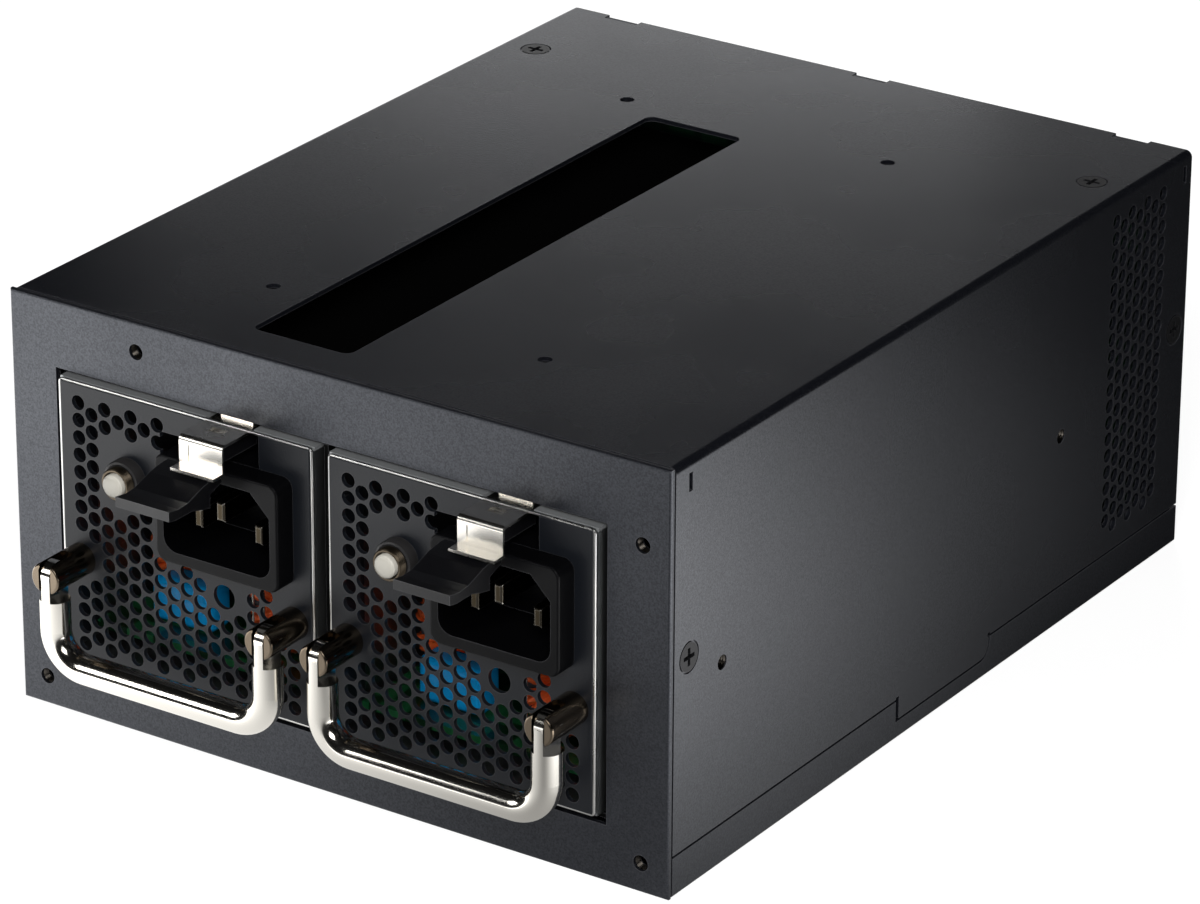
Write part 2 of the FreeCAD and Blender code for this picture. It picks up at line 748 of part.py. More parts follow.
def outlet_block(name, grow, span):
    """A block with rounded corners round the cable outlet, larger than it by a margin."""
    left, right = f"outlet_x - outlet_width / 2 - {grow}", f"outlet_x + outlet_width / 2 + {grow}"
    low, high = f"outlet_height - outlet_tall / 2 - {grow}", f"outlet_height + outlet_tall / 2 + {grow}"
    corner = f"outlet_corner + {grow}"
    return prism(name, "xz", [(left, low), (right, low), (right, high), (left, high)], span,
                 {index: corner for index in range(4)})


def build_rear(clearance):
    """Rear panel with its ears, flanges and tabs, and the rubber grommet in its cable outlet."""
    inner = f"({HALF} - case_sheet - panel_fit)"
    roof = "(case_height - case_sheet - panel_fit)"
    span = (REAR_INNER, f"{REAR} - case_sheet")
    pieces = [box("rear_wall", (f"-{inner}", inner), span, ("case_sheet", roof))]
    for side, sign in (("left", -1), ("right", 1)):
        ear = (f"-{inner}", f"-{inner} + ear_width") if sign < 0 else (f"{inner} - ear_width", inner)
        flange = (f"-{inner}", f"-{inner} + case_sheet") if sign < 0 else (f"{inner} - case_sheet", inner)
        pieces.append(box(f"rear_ear_{side}", ear, (f"{REAR_INNER} - ear_length", REAR_INNER),
                          (f"{roof} - case_sheet", roof)))
        pieces.append(box(f"rear_flange_{side}", flange, (f"{REAR_INNER} - rear_flange_depth", REAR_INNER),
                          ("rear_flange_low", "case_height - rear_flange_drop")))
    for index in (-1, 0, 1):
        middle = f"{index} * {NOTCH_SIDE}"
        half = "(notch_width / 2 - panel_fit)"
        pieces.append(box(f"rear_tab_{index + 1}", (f"{middle} - {half}", f"{middle} + {half}"), span,
                          (roof, "case_height - panel_fit")))
    outlet = outlet_block("outlet_cut", "0", (f"{REAR_INNER} - 1", f"{REAR} + 1"))
    columns = steps_in(f"{HALF} - rear_vent_margin - rear_vent_left", f"vent_pitch * {COLUMN_STEP}")
    rows = steps_in("case_height - rear_vent_margin - rear_vent_low", "vent_pitch / 2")
    vents = list(hex_field(columns, rows, "vent_pitch", "rear_vent_left", "rear_vent_low"))
    drilled = holes("rear_vents", "y", vents, (f"{REAR_INNER} - 1", f"{REAR} + 1"), "vent_radius")
    cut("rear_panel", fuse("rear_blank", pieces), [outlet, drilled, clearance])
    neck = outlet_block("grommet_neck", "0", (f"{REAR_INNER} - grommet_lip_thick",
                                              f"{REAR} - case_sheet + grommet_lip_thick"))
    lips = [
        outlet_block("grommet_lip_in", "grommet_lip", (f"{REAR_INNER} - grommet_lip_thick", REAR_INNER)),
        outlet_block("grommet_lip_out", "grommet_lip",
                     (f"{REAR} - case_sheet", f"{REAR} - case_sheet + grommet_lip_thick")),
    ]
    bore = outlet_block("grommet_bore", "-grommet_wall", (f"{REAR_INNER} - 4", f"{REAR} + 1"))
    cut("cable_grommet", fuse("grommet_blank", [neck] + lips), [bore])


def build_bays():
    """Floor, roof and divider of the two bays."""
    front = f"({FRAME_BACK} + bay_front_gap)"
    left, right = f"({WINDOW_LEFT} - bay_sheet)", f"({WINDOW_RIGHT} + bay_sheet)"
    floor_low = f"({BAY_FLOOR} - bay_sheet)"
    wide = (f"{left} - bay_sheet", f"{right} + bay_sheet")
    pieces = [box("bay_deck", wide, (front, BAY_REAR), (floor_low, BAY_FLOOR))]
    for label, sign, edge in (("left", -1, wide[0]), ("right", 1, wide[1])):
        leg = (edge, f"{edge} + bay_sheet") if sign < 0 else (f"{edge} - bay_sheet", edge)
        foot = (f"{edge} - bay_foot_width", edge) if sign < 0 else (edge, f"{edge} + bay_foot_width")
        along = (f"{front} + bay_leg_inset", BAY_REAR)
        pieces.append(box(f"bay_leg_{label}", leg, along, ("case_sheet", floor_low)))
        pieces.append(box(f"bay_foot_{label}", foot, along, ("case_sheet", "2 * case_sheet")))
    fuse("bay_floor", pieces)
    fuse("bay_roof", [
        box("bay_ceiling", (left, right), (front, BAY_REAR), (BAY_ROOF, f"{BAY_ROOF} + bay_sheet")),
        box("bay_wall_left", (left, WINDOW_LEFT), (front, BAY_REAR), (BAY_FLOOR, BAY_ROOF)),
        box("bay_wall_right", (WINDOW_RIGHT, right), (front, BAY_REAR), (BAY_FLOOR, BAY_ROOF)),
    ])
    lip = f"{FRONT} + bay_front_gap"
    under_frame = f"{WINDOW_HIGH} - bay_front_gap"
    prism("bay_divider", "yz", [
        (lip, BAY_FLOOR),
        (BAY_REAR, BAY_FLOOR),
        (BAY_REAR, BAY_ROOF),
        (front, BAY_ROOF),
        (front, under_frame),
        (lip, under_frame),
    ], (f"{DIVIDER_X} - bay_sheet / 2", f"{DIVIDER_X} + bay_sheet / 2"))


def build_backplane():
    """Backplane board, what carries it and what stands on it."""
    box("power_backplane", (f"-{BACKPLANE_HALF}", BACKPLANE_HALF), (BACKPLANE_FACE, BACKPLANE_REAR),
        ("backplane_low", BACKPLANE_HIGH))
    pillars = []
    for side in (-1, 0, 1):
        x = f"{side} * ({BACKPLANE_HALF} - standoff_side_inset)"
        for z in ("backplane_low + standoff_edge", f"{BACKPLANE_HIGH} - standoff_edge"):
            pillars.append(cylinder(f"standoff_{len(pillars)}", "y", (x, z), (BACKPLANE_REAR, REAR_INNER),
                                    "standoff_radius"))
    group("board_standoffs", pillars)
    sockets = []
    for side in SIDES:
        centre = MODULE_CENTRES[side]
        block = box(f"socket_block_{side}", (f"{centre} - socket_width / 2", f"{centre} + socket_width / 2"),
                    (f"{BACKPLANE_FACE} - socket_depth", BACKPLANE_FACE),
                    (f"{BOARD_LOW} - socket_wall", f"{BOARD_TOP} + socket_wall"))
        half_card = "(card_edge_width / 2 + card_fit)"
        mouth = box(f"socket_mouth_{side}", (f"{centre} - {half_card}", f"{centre} + {half_card}"),
                    (f"{BACKPLANE_FACE} - socket_depth - 1", f"{MODULE_REAR} + card_edge_reach + 1"),
                    (f"{BOARD_LOW} - card_fit", f"{BOARD_TOP} + card_fit"))
        sockets.append(cut(f"socket_{side}", block, [mouth]))
    group("bay_sockets", sockets)
    posts = []
    for column in range(-2, 3):
        for row in (-1, 1):
            x, z = f"outlet_x + {column} * terminal_pitch", f"outlet_height + {row} * terminal_pitch / 2"
            foot = box(f"terminal_foot_{len(posts)}", (f"{x} - terminal_base / 2", f"{x} + terminal_base / 2"),
                       (BACKPLANE_REAR, f"{BACKPLANE_REAR} + terminal_base_thick"),
                       (f"{z} - terminal_base / 2", f"{z} + terminal_base / 2"))
            stud = cylinder(f"terminal_stud_{len(posts)}", "y", (x, z),
                            (f"{BACKPLANE_REAR} + terminal_base_thick", f"{BACKPLANE_REAR} + terminal_length"),
                            "terminal_radius")
            posts.append(fuse(f"terminal_{len(posts)}", [foot, stud]))
    group("output_terminals", posts)
    centre = (DIVIDER_X, f"{BACKPLANE_HIGH} - buzzer_drop")
    can = cylinder("buzzer_can", "y", centre, (f"{BACKPLANE_FACE} - buzzer_length", BACKPLANE_FACE), "buzzer_radius")
    mouth = cylinder("buzzer_mouth", "y", centre,
                     (f"{BACKPLANE_FACE} - buzzer_length - 1", f"{BACKPLANE_FACE} - buzzer_length / 2"),
                     "buzzer_radius / 4")
    cut("alarm_buzzer", can, [mouth])
    cans = []
    for sign in (-1, 1):
        for step in range(3):
            x = f"{sign} * ({BACKPLANE_HALF} - buffer_side_inset - {step} * buffer_pitch)"
            cans.append(cylinder(f"buffer_{len(cans)}", "y", (x, f"{BACKPLANE_HIGH} - buffer_drop"),
                                 (f"{BACKPLANE_FACE} - buffer_length", BACKPLANE_FACE), "buffer_radius"))
    group("backplane_capacitors", cans)


# Modules: each piece is made once about the module's own middle, then placed in both bays


def plate_hole_allowed(x, z):
    """Whether the front plate has an air hole there; posts, lamp, button, legend and inlet keep theirs clear."""
    post_clear, lamp_clear, button_clear = 5.0, 4.9, 7.9
    inlet_left = number(f"{INLET_X} - inlet_flange_width / 2") - 3.8
    inlet_low = number(f"{INLET_Z} - inlet_flange_tall / 2") - 2.85
    legend_left, legend_right = number(RESET_X) - 6.7, number(RESET_X) + 5.8
    legend_low, legend_high = number(RESET_Z), number(SLOT_LOW) + 1.3
    if math.hypot(abs(x) - number(POST_X), z - number(POST_Z)) < post_clear:
        return False
    if math.hypot(x - number(LAMP_X), z - number(LAMP_Z)) < lamp_clear:
        return False
    if math.hypot(x - number(RESET_X), z - number(RESET_Z)) < button_clear:
        return False
    if legend_left < x < legend_right and legend_low < z < legend_high:
        return False
    beside_slot = x < number(SLOT_LEFT) and z > legend_high
    return beside_slot or not (x > inlet_left and z > inlet_low)


def plate_hole_centres():
    """Centres of the front plate's staggered air holes."""
    step = number("hole_pitch")
    columns = steps_in(f"{MODULE_HALF} - hole_side_margin", f"hole_pitch * {COLUMN_STEP}") - 1
    rows = steps_in(f"{MODULE_HIGH} - first_hole_drop - {MODULE_LOW} - last_hole_rise", "hole_pitch / 2")
    first_z = number(f"{MODULE_HIGH} - first_hole_drop")
    for column in range(-columns, columns + 1):
        x = column * step * COLUMN_STEP
        for row in range(column % 2, rows, 2):
            z = first_z - row * step / 2
            if plate_hole_allowed(x, z):
                yield x, z


def build_shell():
    """Plated shell of a module and its lid."""
    wall = (MODULE_LOW, LID_LOW)
    along = (SHELL_FRONT, MODULE_REAR)
    pieces = [
        box("shell_floor", (f"-{MODULE_HALF}", MODULE_HALF), along, (MODULE_LOW, SHELL_FLOOR)),
        box("shell_left", (f"-{MODULE_HALF}", f"-{SHELL_INNER}"), along, wall),
        box("shell_right", (SHELL_INNER, MODULE_HALF), along, wall),
        box("shell_back", (f"-{SHELL_INNER}", SHELL_INNER), (FAN_REAR, MODULE_REAR), wall),
    ]
    for side in (-1, 1):
        for y in (f"{BOARD_FRONT} + boss_front_inset", f"{MODULE_REAR} - boss_rear_inset"):
            pieces.append(cylinder(f"shell_boss_{len(pieces)}", "z", (f"{side} * ({BOARD_HALF} - boss_side_inset)", y),
                                   (SHELL_FLOOR, BOARD_LOW), "boss_radius"))
    air = cylinder("shell_air", "y", ("0", FAN_CENTRE), (f"{FAN_REAR} - 1", f"{MODULE_REAR} + 1"), FAN_BORE)
    card = box("shell_card_slot", ("-card_edge_width / 2 - 1", "card_edge_width / 2 + 1"),
               (f"{FAN_REAR} - 1", f"{MODULE_REAR} + 1"), (f"{BOARD_LOW} - 1.2", f"{BOARD_TOP} + 1"))
    cut("module_shell", fuse("shell_blank", pieces), [air, card])
    lid = [box("lid_top", (f"-{MODULE_HALF}", MODULE_HALF), along, (LID_LOW, MODULE_HIGH))]
    near = f"({SHELL_INNER} - flange_fit)"
    far = f"({near} - module_sheet)"
    for label, x in (("left", (f"-{near}", f"-{far}")), ("right", (far, near))):
        lid.append(box(f"lid_flange_{label}", x, (f"{SHELL_FRONT} + plate_flange_depth + 1", f"{FAN_REAR} - 1"),
                       (f"{LID_LOW} - lid_flange_drop", LID_LOW)))
    notch = box("lid_notch", (f"{LATCH_LEFT} - latch_side_play", f"{LATCH_LEFT} + latch_width + latch_side_play"),
                (f"{SHELL_FRONT} - 1", f"{PLATE_FACE} + latch_step_depth + latch_step"),
                (f"{LID_LOW} - 1", f"{MODULE_HIGH} + 1"))
    cut("module_lid", fuse("lid_blank", lid), [notch])


def build_front_plate():
    """Black front plate with its air holes and openings."""
    half = f"({MODULE_HALF} - plate_side_inset)"
    blank = box("plate_sheet", (f"-{half}", half), (PLATE_FACE, SHELL_FRONT),
                (f"{MODULE_LOW} + plate_low_inset", f"{MODULE_HIGH} - plate_high_inset"))
    face = number(PLATE_FACE)
    pieces = [rounded("plate_soft", blank, "plate_thick / 3", lambda middle: close(middle.y, face))]
    near = f"({SHELL_INNER} - flange_fit)"
    far = f"({near} - module_sheet)"
    for label, x in (("left", (f"-{near}", f"-{far}")), ("right", (far, near))):
        pieces.append(box(f"plate_flange_{label}", x, (SHELL_FRONT, f"{SHELL_FRONT} + plate_flange_depth"),
                          (f"{MODULE_LOW} + plate_flange_rise", f"{MODULE_HIGH} - plate_flange_drop")))
    through = (f"{PLATE_FACE} - 1", f"{SHELL_FRONT} + 1")
    half_wide, half_tall = "(inlet_body_width / 2 + inlet_fit)", "(inlet_body_tall / 2 + inlet_fit)"
    slot_high = f"{SLOT_LOW} + slot_low_tall"
    slot_right = f"{INLET_X} + slot_right_offset"
    tools = [
        box("inlet_cut", (f"{INLET_X} - {half_wide}", f"{INLET_X} + {half_wide}"), through,
            (f"{INLET_Z} - {half_tall}", f"{INLET_Z} + {half_tall}")),
        box("latch_slot_low", (SLOT_LEFT, slot_right), through, (SLOT_LOW, slot_high)),
        box("latch_slot_high", (f"{INLET_X} - slot_high_offset", slot_right), through,
            (slot_high, f"{MODULE_HIGH} + 1")),
        cylinder("lamp_hole", "y", (LAMP_X, LAMP_Z), through, "lamp_hole_radius"),
        cylinder("reset_hole", "y", (RESET_X, RESET_Z), through, "bushing_radius + screw_fit"),
        holes("plate_vents", "y", list(plate_hole_centres()), through, "hole_radius"),
    ]
    for label, sign in (("left", -1), ("right", 1)):
        tools.append(cylinder(f"post_hole_{label}", "y", (f"{sign} * {POST_X}", POST_Z), through,
                              "post_shank_radius + screw_fit"))
    cut("front_plate", fuse("plate_blank", pieces), tools)


def inlet_block(name, width, tall, span, radius):
    """A block with rounded corners about the inlet's middle."""
    left, right = f"{INLET_X} - {width} / 2", f"{INLET_X} + {width} / 2"
    low, high = f"{INLET_Z} - {tall} / 2", f"{INLET_Z} + {tall} / 2"
    return prism(name, "xz", [(left, low), (right, low), (right, high), (left, high)], span,
                 {index: radius for index in range(4)})


def build_inlet():
    """Mains inlet and its three blades."""
    face_side = number(INLET_FACE)
    flange = inlet_block("inlet_flange", "inlet_flange_width", "inlet_flange_tall", (INLET_FACE, PLATE_FACE),
                         "inlet_corner")
    flange = rounded("inlet_flange_soft", flange, "edge_radius", lambda middle: close(middle.y, face_side))
    body = inlet_block("inlet_body", "inlet_body_width", "inlet_body_tall", (PLATE_FACE, INLET_REAR), "edge_radius")
    left, right = f"{INLET_X} - cavity_width / 2", f"{INLET_X} + cavity_width / 2"
    low, high = f"{INLET_Z} - cavity_tall / 2", f"{INLET_Z} + cavity_tall / 2"
    outline = [
        (left, low),
        (right, low),
        (right, f"{high} - cavity_chamfer"),
        (f"{right} - cavity_chamfer", high),
        (f"{left} + cavity_chamfer", high),
        (left, f"{high} - cavity_chamfer"),
    ]
    cavity = prism("inlet_cavity", "xz", outline, (f"{INLET_FACE} - 1", f"{INLET_FACE} + cavity_depth"),
                   {0: "cavity_corner", 1: "cavity_corner"})
    places = [
        (f"{INLET_X} - blade_spread", f"{INLET_Z} - blade_drop", "blade_recess"),
        (INLET_X, f"{INLET_Z} + earth_rise", "earth_recess"),
        (f"{INLET_X} + blade_spread", f"{INLET_Z} - blade_drop", "blade_recess"),
    ]
    blades = []
    for index, (x, z, recess) in enumerate(places):
        bar = box(f"inlet_bar_{index}", (f"{x} - blade_thick / 2", f"{x} + blade_thick / 2"),
                  (f"{INLET_FACE} + {recess}", f"{INLET_REAR} + blade_tail"),
                  (f"{z} - blade_tall / 2", f"{z} + blade_tall / 2"))
        tip = number(f"{INLET_FACE} + {recess}")
        blades.append(rounded(f"inlet_blade_{index}", bar, "blade_tip", lambda middle: close(middle.y, tip)))
    group("inlet_blades", blades)
    cut("ac_inlet", fuse("inlet_blank", [flange, body]), [cavity] + blades)


def build_latch():
    """Plated latch spring that steps under the lid, and the black thumb tab that it holds."""
    x = (LATCH_LEFT, f"{LATCH_LEFT} + latch_width")
    face = f"({PLATE_FACE} - latch_reach)"
    back = f"({face} + latch_thick)"
    under = f"({LATCH_TOP} - latch_thick)"
    step_front = f"({PLATE_FACE} + latch_step_depth - latch_step)"
    step_rear = f"({PLATE_FACE} + latch_step_depth)"
    tail = f"({PLATE_FACE} + latch_tail_depth)"
    foot = f"({LATCH_TOP} - latch_front_tall)"
    outline = [
        (tail, f"{LATCH_TOP} - latch_step"),
        (step_rear, f"{LATCH_TOP} - latch_step"),
        (step_front, LATCH_TOP),
        (face, LATCH_TOP),
        (face, foot),
        (f"{face} - latch_lip", foot),
        (f"{face} - latch_lip", f"{foot} - latch_thick"),
        (back, f"{foot} - latch_thick"),
        (back, under),
        (step_front, under),
        (step_rear, f"{under} - latch_step"),
        (tail, f"{under} - latch_step"),
    ]
    strip = prism("latch_strip", "yz", outline, x, {3: "latch_bend", 7: "latch_thick / 2", 8: "latch_bend / 2"})
    catch = box("latch_catch", (f"{LATCH_LEFT} + catch_inset", f"{LATCH_LEFT} + latch_width - catch_inset"),
                (f"{FRAME_BACK} + catch_gap", f"{FRAME_BACK} + catch_inset + catch_gap"),
                (f"{LATCH_TOP} - latch_thick / 2", f"{WINDOW_HIGH} - catch_gap"))
    stamp = box("latch_stamp", (f"{LATCH_LEFT} + latch_width - 8", f"{LATCH_LEFT} + latch_width - 1"), (f"{face} - 1", f"{face} + 0.2"),
                (f"{foot} + 0.7", f"{foot} + 4.0"))
    window = box("latch_window", (f"{LATCH_LEFT} + 3.3", f"{LATCH_LEFT} + 6.7"),
                 (f"{face} + 4.5", f"{face} + 6.5"), (f"{under} - 1", f"{LATCH_TOP} + 1"))
    cut("latch_spring", fuse("latch_blank", [strip, catch]), [stamp, window])
    root = f"({PLATE_FACE} - thumb_root)"
    tip = f"({PLATE_FACE} - thumb_reach)"
    low = f"({THUMB_TOP} - thumb_thick)"
    heel = f"({THUMB_TOP} - thumb_heel_drop)"
    thumb_right = f"{THUMB_LEFT} + thumb_width"
    pad = prism("thumb_pad", "yz", [
        (tip, f"{THUMB_TOP} + 0.3"),
        (f"{tip} + 3.0", f"{THUMB_TOP} - 0.2"),
        (f"{tip} + 5.7", THUMB_TOP),
        (f"{tip} + 8.2", f"{THUMB_TOP} + 0.8"),
        (f"{tip} + 10.4", f"{THUMB_TOP} + 1.5"),
        (f"{root} + 0.1", f"{THUMB_TOP} + 1.9"),
        (f"{back}", f"{THUMB_TOP} + 2.1"),
        (f"{back} + arm_thick", f"{THUMB_TOP} + 2.1"),
        (f"{back} + arm_thick", f"{THUMB_TOP} + 0.4"),
        (root, f"{THUMB_TOP} - 0.8"),
        (root, heel),
        (f"{root} - 2.6", f"{heel} + 0.5"),
        (f"{root} - 5.6", low),
        (f"{tip} + 2.0", low),
        (tip, f"{low} + 0.4"),
    ], (THUMB_LEFT, thumb_right))
    arm = prism("thumb_arm", "yz", [
        (back, f"{THUMB_TOP} + 1.0"),
        (back, f"{under} - latch_bend / 2"),
        (f"{back} + latch_bend / 2", under),
        (f"{PLATE_FACE} + arm_depth", under),
        (f"{PLATE_FACE} + arm_depth", f"{under} - arm_drop"),
        (f"{back} + arm_thick", f"{under} - arm_drop"),
        (f"{back} + arm_thick", f"{THUMB_TOP} + 1.0"),
    ], (f"{LATCH_LEFT} + 0.4", thumb_right))
    fuse("latch_tab", [pad, arm])


def build_handle():
    """Round bail with milled tongues, its slotted posts and their pins."""
    tip = f"({PLATE_FACE} - post_length)"
    rivet = f"({SHELL_FRONT} + post_rivet_thick)"
    posts, pins = [], []
    run_z = f"({POST_Z} - bail_drop)"
    pieces = [cylinder("bail_run", "x", (PIVOT_Y, run_z), (f"-{POST_X} + bail_bend", f"{POST_X} - bail_bend"),
                       "bail_radius")]
    for label, sign in (("left", -1), ("right", 1)):
        x = f"{sign} * {POST_X}"
        body = cylinder(f"post_bar_{label}", "y", (x, POST_Z), (tip, PLATE_FACE), "post_radius")
        front = number(tip)
        body = rounded(f"post_soft_{label}", body, "edge_radius", lambda middle: close(middle.y, front))
        shank = cylinder(f"post_shank_{label}", "y", (x, POST_Z), (PLATE_FACE, rivet), "post_shank_radius")
        head = cylinder(f"post_rivet_{label}", "y", (x, POST_Z), (SHELL_FRONT, rivet), "post_rivet_radius")
        slot = box(f"post_slot_{label}", (f"{x} - post_slot / 2", f"{x} + post_slot / 2"),
                   (f"{tip} - 1", f"{tip} + post_slot_depth"),
                   (f"{POST_Z} - post_radius - 1", f"{POST_Z} + post_radius + 1"))
        reach = f"(post_radius - panel_fit)"
        pin = cylinder(f"pin_{label}", "x", (PIVOT_Y, POST_Z), (f"{x} - {reach}", f"{x} + {reach}"),
                       "pin_radius")
        posts.append(cut(f"post_{label}", fuse(f"post_blank_{label}", [body, shank, head]), [slot, pin]))
        pins.append(pin)
        pieces.append(cylinder(f"bail_leg_{label}", "z", (x, PIVOT_Y),
                               (f"{run_z} + bail_bend", f"{POST_Z} - shoulder_drop"), "bail_radius"))
        bend = doc.addObject("Part::Torus", f"bail_bend_{label}")
        start = FreeCAD.Rotation(Vector(1, 0, 0), 90)
        turn = FreeCAD.Rotation(Vector(0, 1, 0), 180 if sign < 0 else 90)
        bend.Placement = FreeCAD.Placement(Vector(), turn * start)
        bend.Angle3 = 90
        bind(bend, Radius1="bail_bend", Radius2="bail_radius")
        pieces.append(place(bend, f"{sign} * ({POST_X} - bail_bend)", PIVOT_Y, f"{run_z} + bail_bend"))
        stem = cylinder(f"tongue_round_{label}", "z", (x, PIVOT_Y),
                        (f"{POST_Z} - shoulder_drop", POST_Z), "bail_radius")
        crown = cylinder(f"tongue_crown_{label}", "x", (PIVOT_Y, POST_Z),
                         (f"{x} - tongue_thick / 2", f"{x} + tongue_thick / 2"), "bail_radius - panel_fit")
        slab = box(f"tongue_slab_{label}", (f"{x} - tongue_thick / 2", f"{x} + tongue_thick / 2"),
                   (f"{PIVOT_Y} - bail_radius - 1", f"{PIVOT_Y} + bail_radius + 1"),
                   (f"{POST_Z} - shoulder_drop - 1", f"{POST_Z} + 1"))
        pieces.append(crown)
        pieces.append(common(f"tongue_{label}", stem, slab))
    eyes = [cylinder(f"bail_eye_{label}", "x", (PIVOT_Y, POST_Z),
                     (f"{sign} * {POST_X} - tongue_thick", f"{sign} * {POST_X} + tongue_thick"),
                     "pin_radius + pin_fit") for label, sign in (("left", -1), ("right", 1))]
    cut("bail_handle", fuse("bail_blank", pieces), eyes)
    group("handle_posts", posts)
    group("handle_pins", pins)


def build_reset():
    """Buzzer reset button and the barrel that guides it."""
    centre = (RESET_X, RESET_Z)
    bushing_front = f"({PLATE_FACE} - bushing_length)"
    travel_floor = f"({bushing_front} - cap_proud + cap_length + reset_travel + cap_play)"
    pieces = [
        cylinder("barrel_ring", "y", centre, (f"{PLATE_FACE} - barrel_length", PLATE_FACE), "barrel_radius"),
        cylinder("barrel_bushing", "y", centre, (bushing_front, SHELL_FRONT), "bushing_radius"),
        box("switch_body", (f"{RESET_X} - switch_size / 2", f"{RESET_X} + switch_size / 2"),
            (SHELL_FRONT, f"{SHELL_FRONT} + switch_depth"),
            (f"{RESET_Z} - switch_size / 2", f"{RESET_Z} + switch_size / 2")),
    ]
    bores = [
        cylinder("cap_bore", "y", centre, (f"{bushing_front} - 1", travel_floor), "cap_radius + cap_play"),
        cylinder("stem_bore", "y", centre, (travel_floor, f"{travel_floor} + stem_length + 0.5"),
                 "stem_radius + cap_play"),
    ]
    cut("reset_barrel", fuse("barrel_blank", pieces), bores)
    cap_front = f"({bushing_front} - cap_proud)"
    cap = cylinder("cap_disc", "y", centre, (cap_front, f"{cap_front} + cap_length"), "cap_radius")
    front = number(cap_front)
    cap = rounded("cap_soft", cap, "edge_radius", lambda middle: close(middle.y, front))
    stem = cylinder("cap_stem", "y", centre, (f"{cap_front} + cap_length", f"{cap_front} + cap_length + stem_length"),
                    "stem_radius")
    fuse("reset_button", [cap, stem])


def build_lamp():
    """Status lamp on its holder, behind its hole in the plate."""
    centre = (LAMP_X, LAMP_Z)
    front = f"({SHELL_FRONT} + lamp_inset)"
    rear = f"({front} + lamp_length)"
    lamp = cylinder("lamp_tube", "y", centre, (f"{front} + lamp_radius", rear), "lamp_radius")
    dome = doc.addObject("Part::Sphere", "lamp_dome")
    bind(dome, Radius="lamp_radius")
    place(dome, LAMP_X, f"{front} + lamp_radius", LAMP_Z)
    rim = cylinder("lamp_rim", "y", centre, (f"{rear} - 1", rear), "lamp_rim_radius")
    holder = box("lamp_post", (f"{LAMP_X} - lamp_holder / 2", f"{LAMP_X} + lamp_holder / 2"),
                 (rear, f"{rear} + lamp_holder"), (BOARD_TOP, f"{LAMP_Z} + lamp_holder / 2"))
    fuse("status_led", [lamp, dome, rim, holder])


def build_board():
    """Main board with its card edge, and the parts that stand on it."""
    board_rear = f"({FAN_REAR} - board_rear_play)"
    fuse("main_board", [
        box("board_area", (f"-{BOARD_HALF}", BOARD_HALF), (BOARD_FRONT, board_rear), (BOARD_LOW, BOARD_TOP)),
        box("card_edge", ("-card_edge_width / 2", "card_edge_width / 2"),
            (board_rear, f"{MODULE_REAR} + card_edge_reach"), (BOARD_LOW, BOARD_TOP)),
    ])
    far_front = f"({SHELL_FRONT} + far_choke_front)"
    near_front = f"({SHELL_FRONT} + near_choke_front)"
    build_chokes({
        "far": (f"(-{BOARD_HALF} + far_choke_side + {CHOKE_RADIUS})", far_front),
        "near": (f"({BOARD_HALF} - near_choke_side - {CHOKE_RADIUS})", near_front),
    })
    film_right = f"({LAMP_X} - lamp_holder / 2 - film_gap)"
    film_front = f"({PLATE_FACE} + film_inset)"
    film = box("film_block", (f"{film_right} - film_width", film_right), (film_front, f"{film_front} + film_deep"),
               (BOARD_TOP, f"{BOARD_TOP} + film_tall"))
    floor = number(BOARD_TOP)
    rounded("film_capacitor", film, "film_edge", lambda middle: middle.z > floor + 1e-3)
    choke_rear = f"({far_front} + choke_thick)"
    bulk_front = f"({choke_rear} + bulk_gap)"
    bulk_rear = f"({bulk_front} + bulk_length)"
    bulk = cylinder("bulk_can", "y", (f"-{BOARD_HALF} + bulk_side_inset + bulk_radius", f"{BOARD_TOP} + bulk_radius"),
                    (bulk_front, bulk_rear), "bulk_radius")
    ends = (number(bulk_front), number(bulk_rear))
    rounded("bulk_capacitor", bulk, "edge_radius", lambda middle: any(close(middle.y, end) for end in ends))
    build_transformer(f"({choke_rear} + transformer_gap)")
    sink_front = f"({bulk_rear} + sink_gap)"
    build_sinks(sink_front)
    cans = []
    for column in (-1, 1):
        for row in range(3):
            x, y = f"{column} * output_pitch / 2", f"{sink_front} + output_gap + {row} * output_pitch"
            cans.append(cylinder(f"output_can_{len(cans)}", "z", (x, y), (BOARD_TOP, f"{BOARD_TOP} + output_tall"),
                                 "output_radius"))
    group("output_capacitors", cans)


def build_chokes(places):
    """Ring cores wound with copper, each with its axis along the module."""
    cores, coils = [], []
    for label, (x, front) in places.items():
        centre = (x, f"{BOARD_TOP} + {CHOKE_RADIUS}")
        middle = f"({front} + choke_thick / 2)"
        core_span = (f"{middle} - core_thick / 2", f"{middle} + core_thick / 2")
        ring = cylinder(f"{label}_core_ring", "y", centre, core_span, f"{CHOKE_RADIUS} * core_share")
        eye = cylinder(f"{label}_core_eye", "y", centre, core_span, f"{CHOKE_RADIUS} * core_hole_share")
        core = cut(f"{label}_core", ring, [eye])
        coil_span = (front, f"{front} + choke_thick")
        coil_ring = cylinder(f"{label}_coil_ring", "y", centre, coil_span, CHOKE_RADIUS)
        coil_eye = cylinder(f"{label}_coil_eye", "y", centre, coil_span, f"{CHOKE_RADIUS} * choke_hole_share")
        cores.append(core)
        coils.append(cut(f"{label}_coil", coil_ring, [coil_eye, core]))
    group("choke_cores", cores)
    group("choke_windings", coils)


